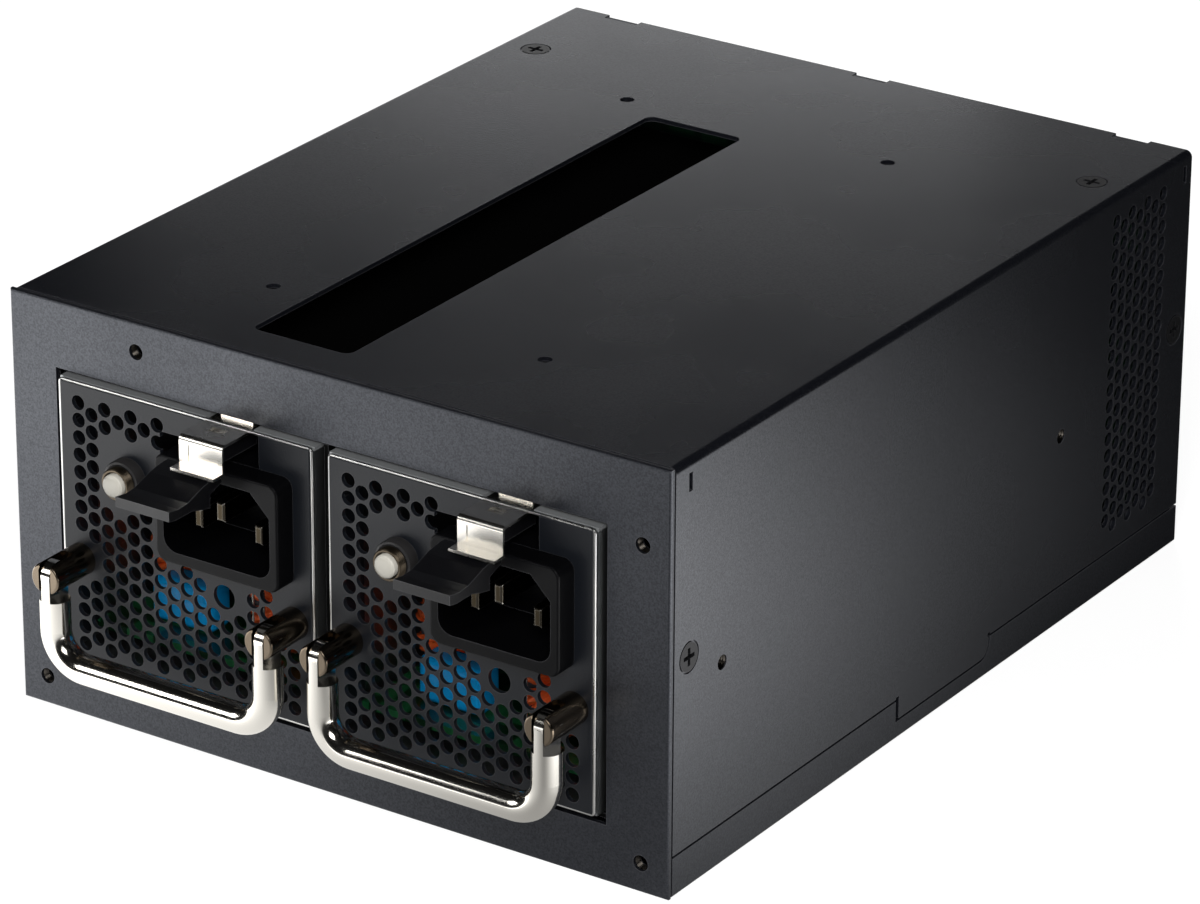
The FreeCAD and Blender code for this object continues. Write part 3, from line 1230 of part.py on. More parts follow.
def build_transformer(front):
    """Ferrite frame with the wound bobbin in its window."""
    rear = f"({front} + transformer_deep)"
    right = f"({BOARD_HALF} - transformer_side_inset)"
    x = (f"{right} - transformer_width", right)
    z = (BOARD_TOP, f"{BOARD_TOP} + transformer_tall")
    block = box("transformer_block", x, (f"{front} + transformer_overhang", f"{rear} - transformer_overhang"), z)
    window = box("transformer_window", (f"{x[0]} + transformer_leg", f"{x[1]} - transformer_leg"),
                 (front, rear), (f"{z[0]} + transformer_leg", f"{z[1]} - transformer_leg"))
    bobbin = cylinder("transformer_coil", "y", (f"{right} - transformer_width / 2",
                                                f"{BOARD_TOP} + transformer_tall / 2"),
                      (front, rear), "transformer_tall / 2 - transformer_leg")
    fuse("transformer", [cut("transformer_frame", block, [window]), bobbin])


def build_sinks(front):
    """Two finned heat sinks, one along each side of the board."""
    top = f"({LID_LOW} - sink_headroom)"
    sinks = []
    for label, sign in (("left", -1), ("right", 1)):
        outer = f"({BOARD_HALF} - sink_side_inset)"
        wall = (f"-{outer}", f"-{outer} + sink_thick") if sign < 0 else (f"{outer} - sink_thick", outer)
        fin = (wall[1], f"{wall[1]} + sink_fin") if sign < 0 else (f"{wall[0]} - sink_fin", wall[0])
        along = (front, f"{FAN_FRONT} - sink_rear_gap")
        pieces = [box(f"sink_wall_{label}", wall, along, (BOARD_TOP, top))]
        for index in range(4):
            low = f"{top} - sink_fin_thick - {index} * sink_fin"
            pieces.append(box(f"sink_fin_{label}_{index}", fin, along, (low, f"{low} + sink_fin_thick")))
        sinks.append(fuse(f"sink_{label}", pieces))
    group("heat_sinks", sinks)


def build_fan():
    """Fan frame with its struts and bearing tube, and the bladed rotor on its shaft."""
    low, high = FAN_LOW, f"{FAN_LOW} + {FAN_SIZE}"
    side = f"({FAN_SIZE} / 2)"
    block = prism("fan_block", "xz", [(f"-{side}", low), (side, low), (side, high), (f"-{side}", high)],
                  (FAN_FRONT, FAN_REAR), {index: "fan_strut" for index in range(4)})
    bore = cylinder("fan_bore_cut", "y", ("0", FAN_CENTRE), (f"{FAN_FRONT} - 1", f"{FAN_REAR} + 1"), FAN_BORE)
    frame = cut("fan_ring", block, [bore])
    plate = (f"{FAN_REAR} - fan_plate", FAN_REAR)
    pieces = [
        frame,
        cylinder("fan_hub_disc", "y", ("0", FAN_CENTRE), plate, FAN_HUB),
        cylinder("fan_bearing", "y", ("0", FAN_CENTRE), (f"{FAN_REAR} - fan_plate - rotor_depth + rotor_wall + 1.5",
                                                        plate[0]), "bearing_radius"),
        box("fan_strut_level", (f"-{FAN_BORE} - fan_wall / 2", f"{FAN_BORE} + fan_wall / 2"), plate,
            (f"{FAN_CENTRE} - fan_strut / 2", f"{FAN_CENTRE} + fan_strut / 2")),
        box("fan_strut_upright", ("-fan_strut / 2", "fan_strut / 2"), plate,
            (f"{FAN_CENTRE} - {FAN_BORE} - fan_wall / 2", f"{FAN_CENTRE} + {FAN_BORE} + fan_wall / 2")),
    ]
    tools = [cylinder("fan_shaft_hole", "y", ("0", FAN_CENTRE), (FAN_FRONT, f"{FAN_REAR} - fan_plate / 2"),
                      "shaft_radius + shaft_fit")]
    for x in (-1, 1):
        for z in (-1, 1):
            tools.append(cylinder(f"fan_corner_{x + 1}{z + 1}", "y",
                                  (f"{x} * ({side} - fan_hole_inset)", f"{FAN_CENTRE} + {z} * ({side} - fan_hole_inset)"),
                                  (f"{FAN_FRONT} - 1", f"{FAN_REAR} + 1"), "fan_hole_radius"))
    cut("fan_frame", fuse("fan_blank", pieces), tools)
    rear = f"({plate[0]} - rotor_gap)"
    front = f"({rear} - rotor_depth)"
    hub = cylinder("rotor_hub_block", "y", ("0", FAN_CENTRE), (front, rear), f"{FAN_HUB} - rotor_gap / 2")
    hollow = cylinder("rotor_hollow", "y", ("0", FAN_CENTRE), (f"{front} + rotor_wall", f"{rear} + 1"),
                      f"{FAN_HUB} - rotor_gap / 2 - rotor_wall")
    shaft = cylinder("rotor_shaft", "y", ("0", FAN_CENTRE), (front, f"{FAN_REAR} - fan_plate / 2 - 0.1"),
                     "shaft_radius")
    blade = box("rotor_blade", (f"{FAN_HUB} - rotor_gap / 2 - rotor_wall / 2", f"{FAN_BORE} - rotor_tip_gap"),
                ("-blade_sheet / 2", "blade_sheet / 2"), ("-blade_chord / 2", "blade_chord / 2"))
    pitched = group("rotor_blade_pitched", [blade])
    pitched.Placement = FreeCAD.Placement(Vector(), FreeCAD.Rotation(Vector(1, 0, 0), number("blade_pitch_angle")))
    blades = []
    for index in range(FAN_BLADES):
        copy = group(f"rotor_blade_{index}", [pitched])
        copy.Placement = FreeCAD.Placement(Vector(), FreeCAD.Rotation(Vector(0, 1, 0), 360 / FAN_BLADES * index))
        blades.append(place(copy, "0", f"({front} + {rear}) / 2", FAN_CENTRE))
    fuse("fan_rotor", [cut("rotor_cup", hub, [hollow]), shaft] + blades)


MODULE_PIECES = (
    "module_shell", "module_lid", "front_plate", "ac_inlet", "inlet_blades", "latch_spring", "latch_tab",
    "bail_handle", "handle_posts", "handle_pins", "reset_button", "reset_barrel", "status_led", "main_board",
    "choke_cores", "choke_windings", "film_capacitor", "bulk_capacitor", "transformer", "heat_sinks",
    "output_capacitors", "fan_frame", "fan_rotor",
)
HOUSING_PIECES = (
    "base_tray", "top_cover", "rear_panel", "cable_grommet", "bay_floor", "bay_roof", "bay_divider",
    "power_backplane", "board_standoffs", "bay_sockets", "output_terminals", "alarm_buzzer",
    "backplane_capacitors", "cover_screws",
)


def place_modules():
    """Stand a copy of each module piece in each bay."""
    placed = []
    for side in SIDES:
        for piece in MODULE_PIECES:
            copy = group(f"{side}_{piece}", [doc.getObject(piece)])
            placed.append(place(copy, MODULE_CENTRES[side]))
    return placed


def check_and_write(nodes):
    """Stop on any failed feature or bad shape, then write one file for each node."""
    doc.recompute()
    for thing in doc.Objects:
        if {"Invalid", "Error"} & set(thing.State):
            raise RuntimeError(f"{thing.Label} failed: {thing.State}")
    os.makedirs("parts", exist_ok=True)
    for node in nodes:
        shape = node.Shape
        if shape.isNull() or not shape.isValid() or not shape.Solids:
            raise RuntimeError(f"{node.Label} has no sound solid")
        shape.exportStep(f"parts/{node.Label}.step")
        print(node.Label, len(shape.Solids), round(shape.Volume, 1))


fill_sheet()
screw_clearance = build_screws()
build_tray(screw_clearance)
build_cover(screw_clearance)
build_rear(screw_clearance)
build_bays()
build_backplane()
build_shell()
build_front_plate()
build_inlet()
build_latch()
build_handle()
build_reset()
build_lamp()
build_board()
build_fan()
check_and_write([doc.getObject(name) for name in HOUSING_PIECES] + place_modules())
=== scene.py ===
"""Dresses a redundant hot swap server power supply in Blender: finishes, wound chokes, studio and camera."""

import logging
import math
from dataclasses import dataclass, field
from enum import Enum

import bmesh
import bpy
from mathutils import Matrix, Vector

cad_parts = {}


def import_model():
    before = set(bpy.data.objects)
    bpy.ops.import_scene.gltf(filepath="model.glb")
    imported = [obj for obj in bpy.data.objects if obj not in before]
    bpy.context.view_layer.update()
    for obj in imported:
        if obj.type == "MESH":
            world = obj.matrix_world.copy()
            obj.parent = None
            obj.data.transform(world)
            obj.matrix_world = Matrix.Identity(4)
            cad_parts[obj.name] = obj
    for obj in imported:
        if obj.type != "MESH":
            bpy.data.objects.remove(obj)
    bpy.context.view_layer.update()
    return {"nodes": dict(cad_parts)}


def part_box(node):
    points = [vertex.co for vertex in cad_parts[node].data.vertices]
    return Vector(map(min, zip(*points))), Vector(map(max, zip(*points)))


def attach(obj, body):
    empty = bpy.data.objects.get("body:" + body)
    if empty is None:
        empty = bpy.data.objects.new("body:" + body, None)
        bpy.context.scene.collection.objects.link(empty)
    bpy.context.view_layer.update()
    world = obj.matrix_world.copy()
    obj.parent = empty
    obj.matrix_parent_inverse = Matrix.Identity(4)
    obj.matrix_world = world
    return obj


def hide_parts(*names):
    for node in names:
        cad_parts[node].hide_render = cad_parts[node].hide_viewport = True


LOG = logging.getLogger("server_power_supply")
MM = 0.001
WHITE = (1.0, 1.0, 1.0, 1.0)
# Points round every turned piece.
TURNED_SIDES = 64
# Points round every wire.
WIRE_SIDES = 8
# A radius that closes a turned piece on its own line.
POLE = 0.01
Point = tuple[float, float, float]


def linear(code: str) -> tuple[float, float, float, float]:
    """Turns an sRGB hex colour into linear light.

    Args:
        code: Colour as "#rrggbb".

    Returns:
        Linear red, green and blue with an alpha of 1.
    """
    levels = [int(code[start:start + 2], 16) / 255 for start in (1, 3, 5)]
    red, green, blue = (level / 12.92 if level <= 0.04045 else ((level + 0.055) / 1.055) ** 2.4
                        for level in levels)
    return red, green, blue, 1.0


def add_node(tree: bpy.types.NodeTree, kind: str, settings: dict | None = None,
             inputs: dict | None = None) -> bpy.types.Node:
    """Adds one node with its settings, values and links.

    Args:
        tree: Node tree that gets the node.
        kind: Blender's name for the node's type.
        settings: Properties of the node, by name.
        inputs: Values or output sockets for the node's inputs, by name or number.

    Returns:
        The new node.
    """
    node = tree.nodes.new(kind)
    for name, value in (settings or {}).items():
        setattr(node, name, value)
    for socket, value in (inputs or {}).items():
        if isinstance(value, bpy.types.NodeSocket):
            tree.links.new(value, node.inputs[socket])
        else:
            node.inputs[socket].default_value = value
    return node


def noise(tree: bpy.types.NodeTree, where: bpy.types.NodeSocket, scale: float,
          detail: float) -> bpy.types.NodeSocket:
    """Adds a noise texture.

    Args:
        tree: Node tree of the material.
        where: Point on the piece.
        scale: Patches per metre.
        detail: Finer layers of noise on top of the first.

    Returns:
        A socket between 0 and 1.
    """
    return add_node(tree, "ShaderNodeTexNoise",
                    inputs={"Vector": where, "Scale": scale, "Detail": detail}).outputs["Fac"]


def remap(tree: bpy.types.NodeTree, value: bpy.types.NodeSocket, source: tuple[float, float],
          result: tuple[float, float], curve: str = "LINEAR") -> bpy.types.NodeSocket:
    """Maps one range of a value onto another and holds it at both ends.

    Args:
        tree: Node tree of the material or world.
        value: Socket with the value.
        source: Two values that come in.
        result: What each of them becomes.
        curve: Blender's name for the way between the two.

    Returns:
        A socket with the mapped value.
    """
    return add_node(tree, "ShaderNodeMapRange", {"interpolation_type": curve},
                    {"Value": value, "From Min": source[0], "From Max": source[1],
                     "To Min": result[0], "To Max": result[1]}).outputs["Result"]


def blend(tree: bpy.types.NodeTree, share: bpy.types.NodeSocket, first: bpy.types.NodeSocket | str,
          second: bpy.types.NodeSocket | str) -> bpy.types.NodeSocket:
    """Mixes two colours.

    Args:
        tree: Node tree of the material.
        share: Socket that is 0 where the first colour shows and 1 where the second does.
        first: First colour, as a socket or "#rrggbb".
        second: Second colour, as a socket or "#rrggbb".

    Returns:
        A socket with the mixed colour.
    """
    colours = [linear(colour) if isinstance(colour, str) else colour for colour in (first, second)]
    # Inputs 6 and 7 and output 2 are the node's colour sockets.
    return add_node(tree, "ShaderNodeMix", {"data_type": "RGBA"},
                    {0: share, 6: colours[0], 7: colours[1]}).outputs[2]


def choose(tree: bpy.types.NodeTree, switch: bpy.types.NodeSocket, off: bpy.types.NodeSocket,
           on: bpy.types.NodeSocket) -> bpy.types.NodeSocket:
    """Picks one of two shaders.

    Args:
        tree: Node tree of the material or world.
        switch: Socket that is 0 or 1.
        off: Shader where the switch is 0.
        on: Shader where the switch is 1.

    Returns:
        A socket with the shader.
    """
    return add_node(tree, "ShaderNodeMixShader", inputs={0: switch, 1: off, 2: on}).outputs[0]


def edge_mask(tree: bpy.types.NodeTree, radius: float) -> bpy.types.NodeSocket:
    """Finds the edges of a piece, where the finishes paint a paler colour as an edge highlight; on the powder
    coat it also stands for wear.

    Args:
        tree: Node tree of the material.
        radius: How far from an edge it reaches, in metres.

    Returns:
        A socket that is 1 on an edge and 0 on a flat face.
    """
    soft = add_node(tree, "ShaderNodeBevel", {"samples": 4}, {"Radius": radius})
    flat = add_node(tree, "ShaderNodeNewGeometry")
    likeness = add_node(tree, "ShaderNodeVectorMath", {"operation": "DOT_PRODUCT"},
                        {0: soft.outputs["Normal"], 1: flat.outputs["True Normal"]})
    return remap(tree, likeness.outputs["Value"], (0.995, 0.85), (0.0, 1.0))


@dataclass(frozen=True)
class Finish:
    """One real surface and the material that stands for it."""

    title: str
    colour: str
    roughness: float
    metallic: float = 0.0
    gloss: float = 0.5

    def material(self) -> bpy.types.Material:
        """Builds the material once and returns it."""
        known = bpy.data.materials.get(self.title)
        if known is not None:
            return known
        material = bpy.data.materials.new(self.title)
        material.use_nodes = True
        tree = material.node_tree
        shader = tree.nodes["Principled BSDF"]
        shader.inputs["Base Color"].default_value = linear(self.colour)
        shader.inputs["Metallic"].default_value = self.metallic
        shader.inputs["Roughness"].default_value = self.roughness
        shader.inputs["Specular IOR Level"].default_value = self.gloss
        material.diffuse_color = linear(self.colour)
        self.dress(tree, shader)
        return material

    def dress(self, tree: bpy.types.NodeTree, shader: bpy.types.Node) -> None:
        """Adds the detail of the surface; each finish has its own."""

    def place(self, tree: bpy.types.NodeTree, stretch: Point = (1.0, 1.0, 1.0)) -> bpy.types.NodeSocket:
        """Gives the point on the piece in metres, stretched along an axis for a brushed or drawn surface."""
        point = add_node(tree, "ShaderNodeTexCoord")
        return add_node(tree, "ShaderNodeMapping", inputs={"Vector": point.outputs["Object"],
                                                           "Scale": stretch}).outputs["Vector"]

    def mottle(self, tree: bpy.types.NodeTree, shader: bpy.types.Node, size: float, second: str,
               where: bpy.types.NodeSocket) -> None:
        """Mixes the base colour with a second one in soft patches.

        Args:
            tree: Node tree of the material.
            shader: Its main shader.
            size: Size of the patches in metres.
            second: Second colour as "#rrggbb".
            where: Point on the piece.
        """
        mixed = blend(tree, noise(tree, where, scale=1 / size, detail=2.0), self.colour, second)
        tree.links.new(mixed, shader.inputs["Base Color"])

    def relief(self, tree: bpy.types.NodeTree, shader: bpy.types.Node, height: bpy.types.NodeSocket,
               depth: float, strength: float) -> None:
        """Turns a height into bump on the shader.

        Args:
            tree: Node tree of the material.
            shader: Its main shader.
            height: Socket with the height, from 0 to 1.
            depth: Real depth of the relief in metres.
            strength: How much of it shows, from 0 to 1.
        """
        bump = add_node(tree, "ShaderNodeBump",
                        inputs={"Height": height, "Distance": depth, "Strength": strength})
        tree.links.new(bump.outputs["Normal"], shader.inputs["Normal"])

    def blotch(self, tree: bpy.types.NodeTree, shader: bpy.types.Node, size: float, spread: float,
               where: bpy.types.NodeSocket) -> None:
        """Varies the roughness in soft patches, as handling does.

        Args:
            tree: Node tree of the material.
            shader: Its main shader.
            size: Size of the patches in metres.
            spread: Most that the roughness changes.
            where: Point on the piece.
        """
        patches = remap(tree, noise(tree, where, scale=1 / size, detail=3.0), (0.1, 0.9),
                        (self.roughness - spread, self.roughness + spread), "SMOOTHERSTEP")
        tree.links.new(patches, shader.inputs["Roughness"])


@dataclass(frozen=True)
class PowderCoat(Finish):
    """Polyester powder coat on folded steel: fine grains catch the light, and edges are painted a shade paler,
    as a painted edge highlight and as wear of the coat.
    """

    # The real grain is about 0.15 mm; it is drawn at 0.45 mm so that it shows in the render.
    grain: float = 0.45 * MM
    speckle: str = "#17181b"
    # Paler colour of the edges: a painted edge highlight, together with wear of the coat.
    wear_and_edge_highlight: str = "#343437"
    sheen: str = "#ecf1fc"
    # How much the gloss changes from grain to grain, as a share of it.
    glint: float = 0.24

    def dress(self, tree: bpy.types.NodeTree, shader: bpy.types.Node) -> None:
        """Adds grain, speckle, handling marks and paler edges painted as edge highlight and wear."""
        where = self.place(tree)
        cells = add_node(tree, "ShaderNodeTexVoronoi", inputs={"Vector": where, "Scale": 0.8 / self.grain})
        dots = remap(tree, cells.outputs["Distance"], (0.1, 0.45), (1.0, 0.0))
        speckled = blend(tree, dots, self.colour, self.speckle)
        # Paints the edges paler: painted edge highlight and coat wear.
        edged = blend(tree, edge_mask(tree, radius=0.35 * MM), speckled, self.wear_and_edge_highlight)
        tree.links.new(edged, shader.inputs["Base Color"])
        shine = remap(tree, noise(tree, where, scale=1.3 / self.grain, detail=1.0), (0.3, 0.7),
                      (self.gloss * (1 - self.glint), self.gloss * (1 + self.glint)))
        tree.links.new(shine, shader.inputs["Specular IOR Level"])
        shader.inputs["Specular Tint"].default_value = linear(self.sheen)
        self.blotch(tree, shader, size=35 * MM, spread=0.03, where=where)
        grain = noise(tree, where, scale=1 / self.grain, detail=1.5)
        self.relief(tree, shader, grain, depth=0.06 * MM, strength=0.3)


@dataclass(frozen=True)
class SatinPaint(Finish):
    """Thin satin paint on a punched plate: smoother than the coat, with paler rims round the punched holes
    painted as highlights.
    """

    grain: float = 0.5 * MM
    # Paler colour of edges and hole rims: a painted highlight.
    rim: str = "#3c3c3e"

    def dress(self, tree: bpy.types.NodeTree, shader: bpy.types.Node) -> None:
        """Adds a faint orange peel and paler punched rims painted as highlights."""
        where = self.place(tree)
        edged = blend(tree, edge_mask(tree, radius=0.2 * MM), self.colour, self.rim)
        tree.links.new(edged, shader.inputs["Base Color"])
        self.blotch(tree, shader, size=25 * MM, spread=0.03, where=where)
        grain = noise(tree, where, scale=1 / self.grain, detail=1.0)
        self.relief(tree, shader, grain, depth=0.05 * MM, strength=0.45)


@dataclass(frozen=True)
class ZincPlate(Finish):
    """Electrogalvanised sheet steel: a cool grey metal with fine rolling lines and cloudy patches."""

    # Rolling lines are near 0.05 mm; they are drawn 0.4 mm apart so that they show.
    line: float = 0.4 * MM
    cloud: str = "#9fa2a4"

    def dress(self, tree: bpy.types.NodeTree, shader: bpy.types.Node) -> None:
        """Adds rolling lines along the sheet and cloudy patches."""
        where = self.place(tree)
        self.mottle(tree, shader, size=9 * MM, second=self.cloud, where=where)
        self.blotch(tree, shader, size=12 * MM, spread=0.06, where=where)
        rolled = self.place(tree, (1.0, 0.05, 1.0))
        lines = noise(tree, rolled, scale=1 / self.line, detail=2.0)
        self.relief(tree, shader, lines, depth=0.02 * MM, strength=0.4)


@dataclass(frozen=True)
class BrightPlate(Finish):
    """Polished plating, chrome or nickel: a mirror with a faint waviness and small smudges."""

    wave: float = 6.0 * MM
    smudge: float = 0.04

    def dress(self, tree: bpy.types.NodeTree, shader: bpy.types.Node) -> None:
        """Adds a slight waviness of the polished steel and smudges."""
        where = self.place(tree)
        self.blotch(tree, shader, size=7 * MM, spread=self.smudge, where=where)
        waves = noise(tree, where, scale=1 / self.wave, detail=1.0)
        self.relief(tree, shader, waves, depth=0.04 * MM, strength=0.25)


@dataclass(frozen=True)
class EdgeHighlitPlate(Finish):
    """Plated brass blade: dark on its flats, with a paler colour along its edges painted as a highlight."""

    reach: float = 0.45 * MM
    # Near white colour on the blade edges: a painted highlight.
    painted_edge_highlight: str = "#f1ede4"

    def dress(self, tree: bpy.types.NodeTree, shader: bpy.types.Node) -> None:
        """Adds the painted edge highlight and soft smudges."""
        edged = blend(tree, edge_mask(tree, radius=self.reach), self.colour, self.painted_edge_highlight)
        tree.links.new(edged, shader.inputs["Base Color"])
        self.blotch(tree, shader, size=3 * MM, spread=0.05, where=self.place(tree))


@dataclass(frozen=True)
class TurnedMetal(Finish):
    """Metal turned on a lathe or extruded: fine lines run one way and stretch the highlights."""

    line: float = 0.35 * MM
    stretch: Point = (1.0, 0.04, 1.0)

    def dress(self, tree: bpy.types.NodeTree, shader: bpy.types.Node) -> None:
        """Adds tool lines and a slight change of tone."""
        self.blotch(tree, shader, size=5 * MM, spread=0.05, where=self.place(tree))
        lines = noise(tree, self.place(tree, self.stretch), scale=1 / self.line, detail=2.0)
        self.relief(tree, shader, lines, depth=0.02 * MM, strength=0.4)


@dataclass(frozen=True)
class MouldedPlastic(Finish):
    """Injection moulded nylon or ABS: a fine spark-eroded grain, with a paler colour on the edges painted as a
    highlight.
    """

    # Mould grain is near 0.1 mm; it is drawn at 0.35 mm so that it shows.
    grain: float = 0.35 * MM
    depth: float = 0.05 * MM
    # Paler colour of the edges: a painted highlight.
    rim: str = "#333335"

    def dress(self, tree: bpy.types.NodeTree, shader: bpy.types.Node) -> None:
        """Adds mould grain and paler edges painted as a highlight."""
        where = self.place(tree)
        edged = blend(tree, edge_mask(tree, radius=0.3 * MM), self.colour, self.rim)
        tree.links.new(edged, shader.inputs["Base Color"])
        self.blotch(tree, shader, size=10 * MM, spread=0.04, where=where)
        grain = noise(tree, where, scale=1 / self.grain, detail=2.0)
        self.relief(tree, shader, grain, depth=self.depth, strength=0.4)


@dataclass(frozen=True)
class EnamelledCopper(Finish):
    """Copper wire under clear polyurethane enamel: an orange metal with a hard gloss and paler patches."""

    patch: str = "#ff7a3c"

    def dress(self, tree: bpy.types.NodeTree, shader: bpy.types.Node) -> None:
        """Adds the enamel's gloss and varied tone."""
        shader.inputs["Coat Weight"].default_value = 0.5
        shader.inputs["Coat Roughness"].default_value = 0.12
        where = self.place(tree)
        self.mottle(tree, shader, size=2.2 * MM, second=self.patch, where=where)
        self.blotch(tree, shader, size=3 * MM, spread=0.06, where=where)


@dataclass(frozen=True)
class SolderMask(Finish):
    """Green epoxy solder mask over copper tracks: a gloss with paler tracks that show through it."""

    # Tracks of a power board are 1 to 4 mm wide.
    track: float = 2.5 * MM
    tracks: str = "#164a2a"

    def dress(self, tree: bpy.types.NodeTree, shader: bpy.types.Node) -> None:
        """Adds tracks as cells with paler copper and a slight step to the board."""
        cells = add_node(tree, "ShaderNodeTexVoronoi", {"distance": "CHEBYCHEV", "feature": "F1"},
                         {"Vector": self.place(tree), "Scale": 0.3 / self.track, "Randomness": 0.7})
        gaps = remap(tree, cells.outputs["Distance"], (0.36, 0.4), (0.0, 1.0), "SMOOTHSTEP")
        tree.links.new(blend(tree, gaps, self.tracks, self.colour), shader.inputs["Base Color"])
        self.relief(tree, shader, gaps, depth=0.035 * MM, strength=0.6)


@dataclass(frozen=True)
class ShrunkSleeve(Finish):
    """PVC sleeve shrunk on a capacitor: glossy, with soft lengthwise wrinkles."""

    wrinkle: float = 2.5 * MM

    def dress(self, tree: bpy.types.NodeTree, shader: bpy.types.Node) -> None:
        """Adds shrink wrinkles."""
        self.blotch(tree, shader, size=4 * MM, spread=0.04, where=self.place(tree))
        wrinkles = noise(tree, self.place(tree, (1.0, 1.0, 0.2)), scale=1 / self.wrinkle, detail=1.0)
        self.relief(tree, shader, wrinkles, depth=0.12 * MM, strength=0.3)


@dataclass(frozen=True)
class SinteredFerrite(Finish):
    """Sintered ferrite: a dark matt ceramic with a coarse pressed grain."""

    grain: float = 0.6 * MM
    speckle: str = "#3d3d42"

    def dress(self, tree: bpy.types.NodeTree, shader: bpy.types.Node) -> None:
        """Adds the pressed grain and speckle."""
        where = self.place(tree)
        self.mottle(tree, shader, size=1.2 * MM, second=self.speckle, where=where)
        grain = noise(tree, where, scale=1 / self.grain, detail=4.0)
        self.relief(tree, shader, grain, depth=0.12 * MM, strength=0.5)


@dataclass(frozen=True)
class LampLens(Finish):
    """Diffused epoxy of a lamp: milky, with a soft gloss and a little light let through."""

    milk: str = "#3c4654"

    def dress(self, tree: bpy.types.NodeTree, shader: bpy.types.Node) -> None:
        """Adds the milky body."""
        shader.inputs["Transmission Weight"].default_value = 0.35
        shader.inputs["IOR"].default_value = 1.54
        self.mottle(tree, shader, size=0.8 * MM, second=self.milk, where=self.place(tree))


FRAME_COAT = PowderCoat("black_frame_powder_coat", "#0c0d11", 0.45, gloss=0.9)
COVER_COAT = PowderCoat("black_cover_powder_coat", "#0c0d11", 0.27, gloss=0.9)
# The cage's black coat painted paler on the rear panel: a lit copy of the coat.
LIT_REAR_COAT = PowderCoat("paler_lit_rear_powder_coat", "#1a1b20", 0.5, gloss=0.9)
# Black paint of the bays, taken near black as painted shade inside the housing.
BAY_SHADE_COAT = SatinPaint("near_black_bay_painted_shade", "#030303", 0.8, gloss=0.1)
PLATE_PAINT = SatinPaint("satin_black_plate_paint", "#0f1115", 0.4, gloss=0.35)
# Zinc of the module shell, painted darker than the lid's zinc as shade inside the module.
SHADED_SHEET_ZINC = ZincPlate("shaded_zinc_plated_shell", "#9b9d9e", 0.5, metallic=1.0)
LID_ZINC = ZincPlate("zinc_plated_lid", "#b4b6b7", 0.5, metallic=0.75)
# Zinc of the shell's front edge, painted near white as a highlight: a lit copy of the shell's zinc.
HIGHLIGHT_RIM_ZINC = ZincPlate("highlight_painted_zinc_edge", "#fbf8f2", 0.3, metallic=1.0)
NUT_ZINC = TurnedMetal("blackened_nut_thread", "#4b4742", 0.3, metallic=1.0)
BLACK_OXIDE = SatinPaint("black_oxide_steel", "#202022", 0.38, metallic=0.6)
BAIL_CHROME = BrightPlate("chrome_plated_bail", "#f3efe6", 0.13, metallic=1.0, smudge=0.02)
LATCH_NICKEL = BrightPlate("bright_nickel_spring_steel", "#f2eee6", 0.26, metallic=1.0, wave=4.0 * MM,
                           smudge=0.03)
# The posts' nickel is dark brown, darker than the bright pins.
POST_NICKEL = TurnedMetal("dark_brown_nickel_posts", "#7c7061", 0.22, metallic=1.0)
PIN_STEEL = TurnedMetal("bright_steel_pins", "#c9c5bc", 0.25, metallic=1.0)
BUSHING_NICKEL = TurnedMetal("dark_brown_nickel_bushing", "#5a5145", 0.36, metallic=1.0)
BLADE_PLATE = EdgeHighlitPlate("nickel_plated_brass_blades", "#3b3428", 0.3, metallic=1.0)
STANDOFF_BRASS = TurnedMetal("turned_brass", "#c8a25a", 0.3, metallic=1.0)
SINK_ALUMINIUM = TurnedMetal("extruded_aluminium", "#b9bcbe", 0.36, metallic=1.0)
BLACK_NYLON = MouldedPlastic("moulded_black_nylon", "#08080a", 0.4)
INLET_NYLON = MouldedPlastic("moulded_inlet_nylon", "#040405", 0.42, gloss=0.14)
FAN_PLASTIC = MouldedPlastic("moulded_fan_pbt", "#161618", 0.35)
FLANGE_PLASTIC = MouldedPlastic("moulded_button_flange", "#1d1c1c", 0.45)
# The paler rim colours of the white cap and the blue box are painted highlights on their rounded edges.
WHITE_CAP = MouldedPlastic("moulded_white_cap", "#a5a299", 0.35, depth=0.02 * MM, rim="#c9c6be")
BLUE_EPOXY = MouldedPlastic("blue_epoxy_capacitor_box", "#0a90d2", 0.2, grain=0.6 * MM, depth=0.03 * MM,
                            rim="#3aa4e0")
GROMMET_RUBBER = MouldedPlastic("moulded_grommet_rubber", "#151516", 0.6)
COPPER_WIRE = EnamelledCopper("enamelled_copper_wire", "#f4561f", 0.4, metallic=0.35)
BOARD_MASK = SolderMask("green_solder_mask", "#06200f", 0.25)
# The backplane's mask is a darker copy of the green mask, painted shade so the board reads black through the
# cover's slot.
SHADED_BACKPLANE_MASK = SolderMask("shaded_dark_backplane_mask", "#05130b", 0.3, tracks="#0b2415")
CAN_SLEEVE = ShrunkSleeve("black_shrunk_sleeve", "#1d222e", 0.3)
CORE_FERRITE = SinteredFerrite("sintered_ferrite", "#26262a", 0.6)
LENS_EPOXY = LampLens("diffused_lamp_epoxy", "#2b3340", 0.2)


def dress(piece: bpy.types.Object, finish: Finish) -> None:
    """Gives a piece or a carried-over CAD node its finish.

    Args:
        piece: Object that is dressed.
        finish: Finish that goes into all its material slots.
    """
    if not piece.material_slots:
        piece.data.materials.append(finish.material())
        return
    for slot in piece.material_slots:
        slot.material = finish.material()


